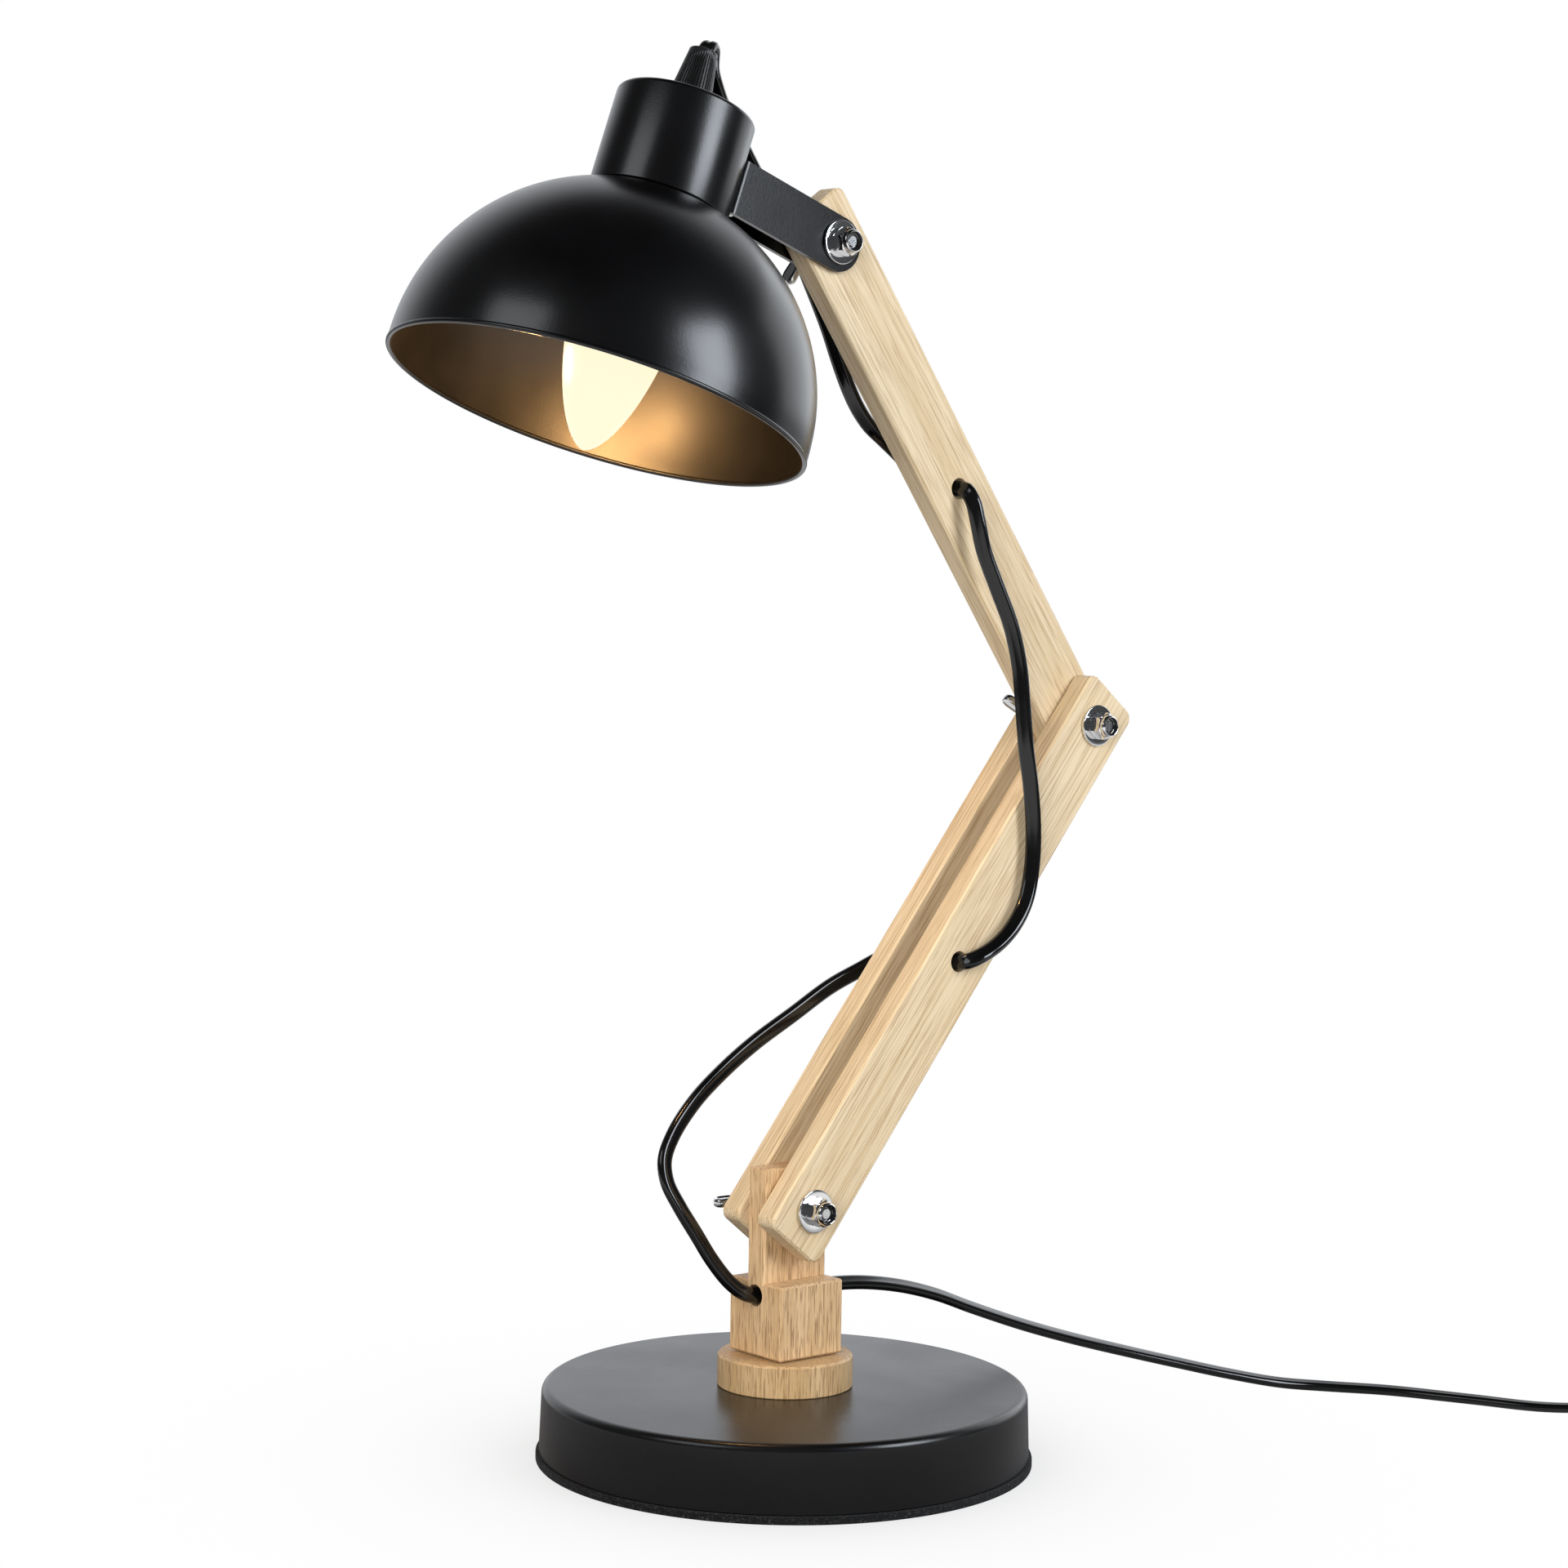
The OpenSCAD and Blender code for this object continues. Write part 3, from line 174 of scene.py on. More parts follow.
# %% [markdown]
# The length that the picture doesn't show is wound into a flat coil of two layers, with the cord on
# edge: it is wound inward on the lower layer and outward again on the upper one, so both ends leave
# from the outside. Between switch and coil the cord turns by a quarter, from flat to on edge, and it
# turns back before the plug.

# %% Put-away length
COIL_AT, COIL_R, COIL_STEP, COIL_HALF = Vector((91.4, 36)), 36, 4.2, 1125
COIL_LOW, COIL_HIGH = 3.65, 9.65
PLUG_SPOT = (127.4, 66.4, 6.85)


def coil_point(deg):
    """A point of the coil, deg degrees along its winding."""
    radius = COIL_R - COIL_STEP * (COIL_HALF - abs(deg - COIL_HALF)) / 360
    rise = min(1, max(0, (deg - COIL_HALF + 90) / 180))
    a = math.radians(deg)
    return (COIL_AT.x + radius * math.sin(a), COIL_AT.y - radius * math.cos(a),
            COIL_LOW + (COIL_HIGH - COIL_LOW) * rise)


switch_inside = at(AT_LAY, [(14, 0, 6), (28, 0, 6), (42, 0, 6)])
switch_lead = at(AT_LAY, [(56, 0, 6), (64, 0, 5.6), (72, 0, 5), (79, 0, 3.85), (86, 0, COIL_LOW)])
coil = at(AT_LAY, [coil_point(a) for a in range(0, 2 * COIL_HALF + 1, 15)])
plug_lead = at(AT_LAY, [(127.4, 41.4, COIL_HIGH), (127.4, 47.4, 9.45), (127.4, 54.4, 8.25),
                        (127.4, 60.4, 7.05), PLUG_SPOT])
plug_inside = at(AT_LAY, [(127.4, 72.4, 6.85)])
print("coil points:", len(coil))


# %% Carry the broad side along a route
def directions(route):
    """The direction of travel at each point of a route."""
    last = len(route) - 1
    return [(route[min(i + 1, last)] - route[max(i - 1, 0)]).normalized() for i in range(last + 1)]


def broad_sides(route, wide, twist=0.0):
    """The way the cord's broad side faces at each point. It turns by twist from first to last."""
    out = []
    for i, along in enumerate(directions(route)):
        wide = (wide - wide.dot(along) * along).normalized()
        out.append(Matrix.Rotation(twist * i / (len(route) - 1), 3, along) @ wide)
    return out


def smooth_line(route, wides, step=0.0014):
    """A smooth curve through the route's points, with the broad side between them."""
    points = [2 * route[0] - route[1], *route, 2 * route[-1] - route[-2]]
    line, faces = [], []
    for i in range(1, len(points) - 2):
        p = points[i - 1:i + 3]
        t = [0.0]
        for a, b in zip(p, p[1:]):
            t.append(t[-1] + max((b - a).length, 1e-6) ** 0.5)
        pieces = max(1, round((p[2] - p[1]).length / step))
        for k in range(pieces):
            u = t[1] + (t[2] - t[1]) * k / pieces
            a = [p[j].lerp(p[j + 1], (u - t[j]) / (t[j + 1] - t[j])) for j in range(3)]
            b = [a[j].lerp(a[j + 1], (u - t[j]) / (t[j + 2] - t[j])) for j in range(2)]
            line.append(b[0].lerp(b[1], (u - t[1]) / (t[2] - t[1])))
            faces.append(wides[i - 1].lerp(wides[i], k / pieces))
    return line + [route[-1]], faces + [wides[-1]]


print("the cord leaves the grip along", [round(x, 2) for x in directions(head_route)[0]])

# %% [markdown]
# ## Finishes
# Most finishes here are the same few steps: a noise, a range of it, and a mix of two colours. Each step
# is a short function that adds one shader node, so a finish below reads as a recipe.


# %% Shader steps
def fill(tree, sockets, values):
    """Give sockets their values, or a link where the value is the socket of another node."""
    for name, value in values.items():
        socket = sockets[name.replace("_", " ") if isinstance(name, str) else name]
        if isinstance(value, bpy.types.NodeSocket):
            tree.links.new(value, socket)
        else:
            socket.default_value = value


def put(tree, kind, inputs=None, **settings):
    """Add one shader node, with its settings and its inputs."""
    node = tree.nodes.new("ShaderNode" + kind)
    for name, value in settings.items():
        setattr(node, name, value)
    fill(tree, node.inputs, inputs or {})
    return node


def on_piece(tree):
    """The place on the piece, which moves with it."""
    return put(tree, "TexCoord").outputs["Object"]


def noise(tree, where, scale, detail, **more):
    """Soft random patches."""
    return put(tree, "TexNoise", {"Vector": where, "Scale": scale, "Detail": detail, **more}).outputs[0]


def ramp(tree, value, first, last, low=0.0, high=1.0, smooth=False):
    """What goes from low to high while the value goes from first to last."""
    limits = {"From Min": first, "From Max": last, "To Min": low, "To Max": high}
    kind = "SMOOTHSTEP" if smooth else "LINEAR"
    return put(tree, "MapRange", {"Value": value, **limits}, interpolation_type=kind).outputs[0]


def calc(tree, operation, a, b, clamp=False):
    """One sum with two values."""
    return put(tree, "Math", {0: a, 1: b}, operation=operation, use_clamp=clamp).outputs[0]


def two_tone(tree, share, first, second):
    """A mix of two colours."""
    return put(tree, "Mix", {0: share, 6: first, 7: second}, data_type="RGBA").outputs[2]


def grey(level):
    """An even grey."""
    return (level, level, level, 1)


print("shader steps ready")


# %% Materials and shared effects
def finish_named(name, **plain):
    """A new material and its main shader, with values that are the same all over."""
    material = bpy.data.materials.new(name)
    material.use_nodes = True
    shader = material.node_tree.nodes["Principled BSDF"]
    fill(material.node_tree, shader.inputs, plain)
    return material, material.node_tree, shader


def effect(name, **inputs):
    """An empty node group with these inputs, which puts out a colour, a roughness and a height."""
    tree = bpy.data.node_groups.new(name, "ShaderNodeTree")
    for label, value in inputs.items():
        kind = {1: "Float", 3: "Vector", 4: "Color"}[len(value) if isinstance(value, tuple) else 1]
        socket = tree.interface.new_socket(label, in_out="INPUT", socket_type="NodeSocket" + kind)
        socket.default_value = value
    for label, kind in (("Color", "Color"), ("Roughness", "Float"), ("Height", "Float")):
        tree.interface.new_socket(label, in_out="OUTPUT", socket_type="NodeSocket" + kind)
    return tree, tree.nodes.new("NodeGroupInput").outputs, tree.nodes.new("NodeGroupOutput").inputs


def relief(tree, shader, height, depth):
    """A bump of the given depth in millimetres on the shader's normal."""
    bump = put(tree, "Bump", {"Height": height, "Distance": depth * MM, "Strength": 1.0})
    fill(tree, shader.inputs, {"Normal": bump.outputs["Normal"]})


def wear(tree, shader, group, depth, **inputs):
    """Lead a shared effect to the shader's colour, roughness and relief."""
    look = put(tree, "Group", inputs, node_tree=group).outputs
    fill(tree, shader.inputs, {"Base Color": look["Color"], "Roughness": look["Roughness"]})
    relief(tree, shader, look["Height"], depth)


print("effects put out a colour, a roughness and a height")

# %% [markdown]
# Moulded plastic, powder coat and cord skin share one effect: a fine grainy relief and a slow change
# of gloss where hands and dust have been. It is built once as a node group, and each material sets
# its own size and strength.


# %% Shared effect: moulded or sprayed skin
def make_skin_effect():
    """Fine relief and slow gloss changes of a moulded or sprayed surface."""
    tree, given, out = effect("moulded_skin", Grain=900.0, Patch=28.0, Dull=0.45, Bright=0.32,
                              Dark=grey(0.01), Pale=grey(0.02))
    place = on_piece(tree)
    patch = noise(tree, place, given["Patch"], 4.0)
    fill(tree, out, {"Color": two_tone(tree, ramp(tree, patch, 0.3, 0.7), given["Dark"], given["Pale"]),
                     "Roughness": ramp(tree, patch, 0.3, 0.7, given["Bright"], given["Dull"]),
                     "Height": noise(tree, place, given["Grain"], 2.0)})
    return tree


MOULDED_SKIN = make_skin_effect()


def skin_finish(name, dark, pale, bright, dull, grain, patch, depth, **plain):
    """A material made of the skin effect."""
    material, tree, shader = finish_named(name, **plain)
    wear(tree, shader, MOULDED_SKIN, depth, Grain=grain, Patch=patch, Bright=bright, Dull=dull,
         Dark=(*dark, 1), Pale=(*pale, 1))
    return material


cord_skin = skin_finish("cord_skin", (0.002, 0.002, 0.002), (0.004, 0.004, 0.004), 0.10, 0.15,
                        grain=700, patch=60, depth=0.0012)
print("made", cord_skin.name)

# %% [markdown]
# A length of cord is the twin section repeated along the smooth curve, with a skin stretched from each
# ring of points to the next. A curve with a bevel would do for a round cord, but a flat one has to keep
# its broad side where the route says.

# %% Section of the cord
CORD_W, CORD_T = 5.4, 3.2


def twin_section(steps=7):
    """The figure of eight: two round cores whose skins run together."""
    core = CORD_T / 2
    apart = CORD_W / 2 - core
    meet = math.pi - math.acos(apart / core)
    half = [(apart + core * math.cos(a), core * math.sin(a))
            for a in (-meet + 2 * meet * k / steps for k in range(steps))]
    return half + [(-x, -y) for x, y in half]


print("section points:", len(twin_section()))


# %% Meshes from rings
def skin(rings, joined=False, capped=False):
    """A mesh stretched from ring to ring. A ring of one point is a tip."""
    bm = bmesh.new()
    rows = [[bm.verts.new(p) for p in ring] for ring in rings]
    for a, b in list(zip(rows, rows[1:])) + ([(rows[-1], rows[0])] if joined else []):
        count = max(len(a), len(b))
        for k in range(count):
            j = (k + 1) % count
            corners = (a[k % len(a)], a[j % len(a)], b[j % len(b)], b[k % len(b)])
            bm.faces.new(list(dict.fromkeys(corners)))
    if capped:
        bm.faces.new(rows[0][::-1])
        bm.faces.new(rows[-1])
    return bm


def as_object(name, bm, material, sharp):
    """A mesh in the scene, shaded smooth up to an edge of so many degrees."""
    mesh = bpy.data.meshes.new(name)
    bm.to_mesh(mesh)
    bm.free()
    mesh.shade_smooth()
    mesh.set_sharp_from_angle(angle=math.radians(sharp))
    mesh.materials.append(material)
    return in_scene(name, mesh)


print("faces on two capped rings of the cord:", 2 + len(twin_section()))


# %% Cord meshes
def turned_to(where, way):
    """A direction of one frame as a direction of the lamp."""
    return (where.to_3x3() @ Vector(way)).normalized()


def flex(name, lines, *nodes):
    """One length of cord along stretches of (route, first broad side, twist)."""
    route, wides = [], []
    for points, wide, twist in lines:
        route += points
        wides += broad_sides(points, wide, twist)
    line, wides = smooth_line(route, wides)
    rings = []
    for spot, along, wide in zip(line, directions(line), wides):
        wide = (wide - wide.dot(along) * along).normalized()
        thin = along.cross(wide)
        rings.append([spot + (x * wide + y * thin) * MM for x, y in twin_section()])
    piece = as_object(name, skin(rings, capped=True), cord_skin, sharp=60)
    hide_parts(*nodes)
    length = sum((b - a).length for a, b in zip(line, line[1:]))
    print(name, "is", round(length, 3), "m long")
    return piece, line, length


LEAD_LEAN = math.radians(38)
FOLD_SIDE = Vector((-math.sin(FOLD_TURN), math.cos(FOLD_TURN), 0))
LEAD_SIDE = Vector((0, math.cos(LEAD_LEAN), math.sin(LEAD_LEAN)))
UPRIGHT, ACROSS = Vector((0, 0, 1)), turned_to(AT_LAY, (0, 1, 0))
head_cord = flex("head_flex", [(head_route, FOLD_SIDE, 0)], "cord_head")
elbow_cord = flex("elbow_flex", [(elbow_route, turned_to(AT_UPPER, (1, 0, 0.5)), 0)], "cord_elbow")
shoulder_cord = flex("shoulder_flex", [(shoulder_route, turned_to(AT_LOWER, (0.8, 0, -0.6)), 0)],
                     "cord_shoulder")
mains_cord = flex(
    "mains_flex",
    [(lead_route, LEAD_SIDE, -LEAD_LEAN), (switch_inside, ACROSS, 0), (switch_lead, ACROSS, math.pi / 2),
     (coil, UPRIGHT, 0), (plug_lead, UPRIGHT, math.pi / 2),
     (plug_inside * 2, turned_to(AT_LAY, (1, 0, 0)), 0)],
    "mains_lead", "switch_lead", "mains_coil", "plug_lead")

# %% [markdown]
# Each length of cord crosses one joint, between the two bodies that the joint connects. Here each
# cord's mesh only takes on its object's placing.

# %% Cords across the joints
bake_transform(head_cord[0])
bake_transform(elbow_cord[0])
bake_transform(shoulder_cord[0])
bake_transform(mains_cord[0])

# %% [markdown]
# ## Drawing tools for hard pieces
# Most hard pieces of a lamp are turned, pressed or moulded, so two tools make nearly all of them. One
# turns an outline round an axis, as on a lathe. The other is the skin over rings that made the cord,
# for pieces whose section changes along their length. Edges get real rounds in the outline, because a
# perfectly sharp edge never catches the light the way a made thing does.


# %% Mesh tools
def ring(radius_at, z, steps):
    """Points round Z at one height, whose radius follows from the angle."""
    angles = [2 * math.pi * k / steps for k in range(steps)]
    return [(radius_at(a) * math.cos(a), radius_at(a) * math.sin(a), z) for a in angles]


def circle(radius, z, steps):
    """A round ring, or a tip where the radius is nothing."""
    return ring(lambda a: radius, z, steps) if radius > 1e-6 else [(0, 0, z)]


def turn(outline, steps=96, joined=True):
    """A mesh that is turned from an outline of (radius, height) points round Z."""
    return skin([circle(r, z, steps) for r, z in outline], joined=joined)


def arc(x, z, radius, first, last, steps=6):
    """Points of an arc, in degrees, for the rounds of an outline."""
    angles = [math.radians(first + (last - first) * k / steps) for k in range(steps + 1)]
    return [(x + radius * math.cos(a), z + radius * math.sin(a)) for a in angles]


def make(name, bm, where, body, material, *nodes, slot=None, sharp=35):
    """Turn a drawing into a piece that rides on its body and stands for its solids."""
    bmesh.ops.recalc_face_normals(bm, faces=bm.faces)
    bm.transform(where)
    piece = as_object(name, bm, material, sharp)
    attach(piece, body)
    if nodes:
        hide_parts(*nodes)
    print(name, len(piece.data.polygons), "faces")
    return piece


# %% [markdown]
# ## Coated metal
# The shade, its cap and the bracket are pressed steel under a satin black coat. The coat is almost
# black, and what the eye sees is soft reflections broken by a very fine orange peel. The base has the
# same kind of coat, a little greyer. Seen at a low angle its top mirrors the bright room. The inside of
# the shade is sprayed thinner and duller, so the lit bulb spreads a broad warm glow over it.

# %% Coats
black_coat = skin_finish("black_coat", (0.0012, 0.0012, 0.0013), (0.0022, 0.0022, 0.0024), 0.23, 0.28,
                         grain=1500, patch=35, depth=0.022)
base_coat = skin_finish("base_coat", (0.0022, 0.0022, 0.0024), (0.0036, 0.0036, 0.0039), 0.24, 0.31,
                        grain=1700, patch=30, depth=0.006, Specular_IOR_Level=0.45)
lining = skin_finish("shade_lining", (0.0018, 0.0017, 0.0015), (0.0032, 0.003, 0.0027), 0.31, 0.38,
                     grain=1300, patch=40, depth=0.02)
black_plastic = skin_finish("black_plastic", (0.004, 0.004, 0.004), (0.008, 0.008, 0.008), 0.30, 0.40,
                            grain=1300, patch=70, depth=0.02)
print("made", black_coat.name, base_coat.name, lining.name, black_plastic.name)

# %% Shade
CAP_R, SHADE_R, SHADE_WALL, SKIRT, LIP_R, HOLE_R = 22.0, 65.8, 1.0, 3.2, 0.8, 14.0
SHADE_DROP = math.sqrt(SHADE_R**2 - CAP_R**2)


def shade_outline():
    """Outside of the dome, round the rolled lip, and back up the inside."""
    first = math.degrees(math.acos(HOLE_R / SHADE_R))
    inner = SHADE_R - SHADE_WALL
    lip_x, lip_z = SHADE_R - SHADE_WALL / 2, -SHADE_DROP - SKIRT
    start = math.degrees(math.acos(SHADE_WALL / 2 / LIP_R))
    return (arc(0, -SHADE_DROP, SHADE_R, first, 0, 56)
            + arc(lip_x, lip_z, LIP_R, start, -180 - start, 18)
            + arc(0, -SHADE_DROP, inner, 0, math.degrees(math.acos(HOLE_R / inner)), 56))


shade = make("lamp_shade", turn(shade_outline(), steps=160), AT_CAP, "head", black_coat, "shade")
shade.data.materials.append(lining)
dome_middle = AT_CAP @ Vector((0, 0, -SHADE_DROP))
for face in shade.data.polygons:
    face.material_index = int((face.center - dome_middle).length < (SHADE_R - 0.9 * SHADE_WALL) * MM)
print("faces with the dull lining:", sum(face.material_index for face in shade.data.polygons))

# %% Cap
CAP_H, CAP_EDGE, CAP_WALL, CAP_HEM_R, NIPPLE_HOLE_R, SEAM_GAP = 32.8, 1.6, 1.0, 0.35, 5.1, 0.03
cap_in, cap_roof = CAP_R - CAP_WALL, CAP_H - CAP_WALL
cap_foot = math.sqrt(SHADE_R**2 - cap_in**2) - SHADE_DROP + SEAM_GAP
cap_outline = [(NIPPLE_HOLE_R, CAP_H), *arc(CAP_R - CAP_EDGE, CAP_H - CAP_EDGE, CAP_EDGE, 90, 0, 8),
               *arc(CAP_R - CAP_HEM_R, cap_foot + CAP_HEM_R, CAP_HEM_R, 0, -90, 4),
               (cap_in, cap_foot), (cap_in, cap_roof), (NIPPLE_HOLE_R, cap_roof)]
make("shade_cap", turn(cap_outline, steps=128), AT_CAP, "head", black_coat, "cap")

# %% [markdown]
# ## Base
# The foot is a shallow pressed cover over a cast weight, on a pad of black felt that stands out by a
# millimetre. The cover's rounded edge is what draws the bright line round it.

# %% Base cover
BASE_R, BASE_TOP_R, BASE_TOP, BASE_EDGE, BASE_HEM_R = 79.0, 78.3, 24.0, 2.6, 0.4
BASE_WALL, BASE_HOLE_R, PAD_R, PAD_T = 1.2, 4.1, 80.0, 2.5
base_roof = BASE_TOP - BASE_WALL
base_outline = [(BASE_HOLE_R, BASE_TOP),
                *arc(BASE_TOP_R - BASE_EDGE, BASE_TOP - BASE_EDGE, BASE_EDGE, 90, 0, 12),
                *arc(BASE_R - BASE_HEM_R, PAD_T + BASE_HEM_R, BASE_HEM_R, 0, -90, 4),
                (BASE_R - BASE_WALL, PAD_T), (BASE_TOP_R - BASE_WALL, base_roof - 1),
                (BASE_TOP_R - 2 * BASE_WALL, base_roof), (BASE_HOLE_R, base_roof)]
make("base_cover", turn(base_outline, steps=192), AT_ROOT, "base", base_coat, "base_shell")


# %% Felt pad
def make_felt():
    """Black felt: short fibres that lie every way, a few pale ones among them."""
    material, tree, shader = finish_named("felt", Roughness=1.0, Sheen_Weight=0.03)
    fibre = noise(tree, on_piece(tree), 1600.0, 5.0, Roughness=0.75, Distortion=1.5)
    fleck = ramp(tree, fibre, 0.57, 0.67)
    fill(tree, shader.inputs, {"Base Color": two_tone(tree, fleck, grey(0.004), grey(0.16))})
    relief(tree, shader, fibre, 0.35)
    return material


pad_outline = [(0, PAD_T), *arc(PAD_R - 0.5, PAD_T - 0.5, 0.5, 90, 0, 4),
               *arc(PAD_R - 0.3, 0.3, 0.3, 0, -90, 3), (0, 0)]
make("felt_disc", turn(pad_outline, steps=192, joined=False), AT_ROOT, "base", make_felt(), "felt_pad")

# %% [markdown]
# ## Wood
# The arms are a pale, fine, straight-grained wood. The post and its collar are redder, with open
# grain. Straight grain is noise that is stretched a long way along the board: one slow noise makes the
# bands of the year rings, a fine one the streaks, and the finest, cut off at a level, the dark dashes
# of the pores. Each board turns the pattern to its own length and takes it from another place, so no
# two boards match.


# %% Shared effect: straight grain
def make_grain_effect():
    """Bands, streaks and pores of a straight-grained board that runs along Z."""
    tree, given, out = effect("straight_grain", Board=(0, 0, 0), Pale=(0.8, 0.6, 0.4, 1),
                              Dark=(0.6, 0.4, 0.2, 1), Pore=(0.3, 0.2, 0.1, 1), Streaks=0.5, Pores=0.5)

    def stretched(across, along, detail, rough):
        scale = (across, across, along)
        scaled = put(tree, "VectorMath", {0: given["Board"], 1: scale}, operation="MULTIPLY")
        return noise(tree, scaled.outputs[0], 1.0, detail, Roughness=rough, Distortion=0.25)

    streaks = ramp(tree, stretched(1100, 12, 3.0, 0.6), 0.38, 0.64)
    bands = ramp(tree, stretched(150, 3.0, 3.0, 0.5), 0.32, 0.68, high=0.44)
    both = calc(tree, "ADD", calc(tree, "MULTIPLY", streaks, given["Streaks"]), bands, clamp=True)
    dashes = ramp(tree, stretched(2100, 44, 2.0, 0.6), 0.52, 0.62)
    pores = calc(tree, "MULTIPLY", dashes, given["Pores"])
    wood = two_tone(tree, both, given["Pale"], given["Dark"])
    fill(tree, out, {"Color": two_tone(tree, pores, wood, given["Pore"]),
                     "Roughness": ramp(tree, both, 0.0, 1.0, 0.42, 0.58),
                     "Height": calc(tree, "SUBTRACT", 1.0, pores)})
    return tree


STRAIGHT_GRAIN = make_grain_effect()


def board_finish(name, lean, shift, pale, dark, pore, streaks, pores, depth, dashes=1.0):
    """Wood whose grain runs along a board leaned by lean degrees about Y."""
    material, tree, shader = finish_named(name, Coat_Weight=0.06, Coat_Roughness=0.3)
    board = put(tree, "Mapping", {"Vector": on_piece(tree), "Rotation": (0, -math.radians(lean), 0),
                                  "Location": shift, "Scale": (1, 1, dashes)})
    wear(tree, shader, STRAIGHT_GRAIN, depth, Board=board.outputs[0], Pale=(*pale, 1), Dark=(*dark, 1),
         Pore=(*pore, 1), Streaks=streaks, Pores=pores)
    return material


PALE = dict(pale=(0.795, 0.64, 0.427), dark=(0.625, 0.455, 0.245), pore=(0.42, 0.26, 0.125),
            streaks=0.58, pores=0.62, depth=0.03)
TAN = dict(pale=(0.735, 0.505, 0.28), dark=(0.53, 0.325, 0.15), pore=(0.26, 0.14, 0.06),
           streaks=0.55, pores=0.75, depth=0.045, dashes=2.6)
COLLAR = TAN | dict(pale=(0.63, 0.435, 0.23), dark=(0.46, 0.285, 0.125))
print("grain effect made, for 3 kinds of board")

# %% [markdown]
# The boards and the post keep their solids, which already have the eased edges and the drilled holes.
# Two modifiers only change how their facets are shaded: one lets the rounded corners look round, and
# the other weighs each face by its size, so the broad faces stay flat up to the edge.

# %% Soft shading for kept solids
ROUND_BELOW = math.radians(32)


def make_soft_shading():
    """A modifier that shades across facets and keeps the sharper edges."""
    tree = bpy.data.node_groups.new("soft_shading", "GeometryNodeTree")
    for way in ("INPUT", "OUTPUT"):
        tree.interface.new_socket("Geometry", in_out=way, socket_type="NodeSocketGeometry")
    start, end = tree.nodes.new("NodeGroupInput"), tree.nodes.new("NodeGroupOutput")
    merge = tree.nodes.new("GeometryNodeMergeByDistance")
    faces, edges = (tree.nodes.new("GeometryNodeSetShadeSmooth") for _ in range(2))
    edges.domain = "EDGE"
    angle = tree.nodes.new("GeometryNodeInputMeshEdgeAngle")
    flat = tree.nodes.new("FunctionNodeCompare")
    flat.operation = "LESS_THAN"
    fill(tree, merge.inputs, {0: start.outputs[0], "Distance": 1e-6})
    fill(tree, faces.inputs, {0: merge.outputs[0], "Shade Smooth": True})
    fill(tree, flat.inputs, {0: angle.outputs[0], 1: ROUND_BELOW})
    fill(tree, edges.inputs, {0: faces.outputs[0], "Shade Smooth": flat.outputs[0]})
    fill(tree, end.inputs, {0: edges.outputs[0]})
    return tree


SOFT_SHADING = make_soft_shading()


def dress(material, *names, slot=None):
    """Give kept solids their finish and soft shading."""
    for name in names:
        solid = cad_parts[name]
        for place in solid.material_slots:
            place.material = material
        solid.modifiers.new("soft_shading", "NODES").node_group = SOFT_SHADING
        flat = solid.modifiers.new("flat_faces", "WEIGHTED_NORMAL")
        flat.keep_sharp, flat.weight = True, 100
    print(material.name, "on", len(names), "solids")


for finish, slot, solid, lean, shift, wood in (
        ("lower_front_wood", "pale_wood", "lower_arm_front", LOWER_LEAN, (0.03, 0.1, 0.2), PALE),
        ("lower_rear_wood", "pale_wood", "lower_arm_rear", LOWER_LEAN, (0.11, 0.35, 0.6), PALE),
        ("upper_wood", "pale_wood", "upper_arm", UPPER_LEAN, (0.23, 0.55, 0.9), PALE),
        ("post_wood", "tan_wood", "post_block", 0, (0.31, 0.15, 0.4), TAN),
        ("collar_wood", "tan_wood", "collar_disc", 0, (0.47, 0.25, 0.7), COLLAR)):
    dress(board_finish(finish, lean, shift, **wood), solid, slot=slot)
dress(black_coat, "head_bracket")

# %% [markdown]
# ## Bright hardware
# The pivots are clamped by studs with a lock nut in front and a wing nut behind, on plain washers.
# Zinc and chrome show the room around them, so their colour is plain and their roughness carries the
# finish: fine scratches from handling, drawn out in one direction.


# %% Shared effect: handled metal
def make_metal_effect():
    """Fine scratches and faint clouding of handled bright metal."""
    tree, given, out = effect("handled_metal", Clean=grey(0.8), Cloudy=grey(0.6), Bright=0.1, Dull=0.25)
    place = on_piece(tree)
    drawn = put(tree, "VectorMath", {0: place, 1: (2600, 500, 2600)}, operation="MULTIPLY")
    scratch = noise(tree, drawn.outputs[0], 1.0, 3.0)
    cloud = ramp(tree, noise(tree, place, 180.0, 3.0), 0.35, 0.7)
    fill(tree, out, {"Color": two_tone(tree, cloud, given["Clean"], given["Cloudy"]),
                     "Roughness": ramp(tree, scratch, 0.3, 0.7, given["Bright"], given["Dull"]),
                     "Height": scratch})
    return tree


HANDLED_METAL = make_metal_effect()
SCRATCH_DEPTH = 0.002


def metal_finish(name, clean, cloudy, bright, dull):
    """A bright metal made of the handled metal effect."""
    material, tree, shader = finish_named(name, Metallic=1.0)
    wear(tree, shader, HANDLED_METAL, SCRATCH_DEPTH, Clean=(*clean, 1), Cloudy=(*cloudy, 1),
         Bright=bright, Dull=dull)
    return material


chrome = metal_finish("chrome", (0.80, 0.80, 0.80), (0.70, 0.70, 0.71), 0.05, 0.13)
steel = metal_finish("steel", (0.66, 0.66, 0.66), (0.52, 0.52, 0.53), 0.16, 0.32)
brass = metal_finish("brass", (0.72, 0.52, 0.22), (0.55, 0.38, 0.15), 0.18, 0.34)
iron = metal_finish("cast_iron", (0.11, 0.11, 0.11), (0.06, 0.06, 0.06), 0.5, 0.75)
print("made", chrome.name, steel.name, brass.name, iron.name)

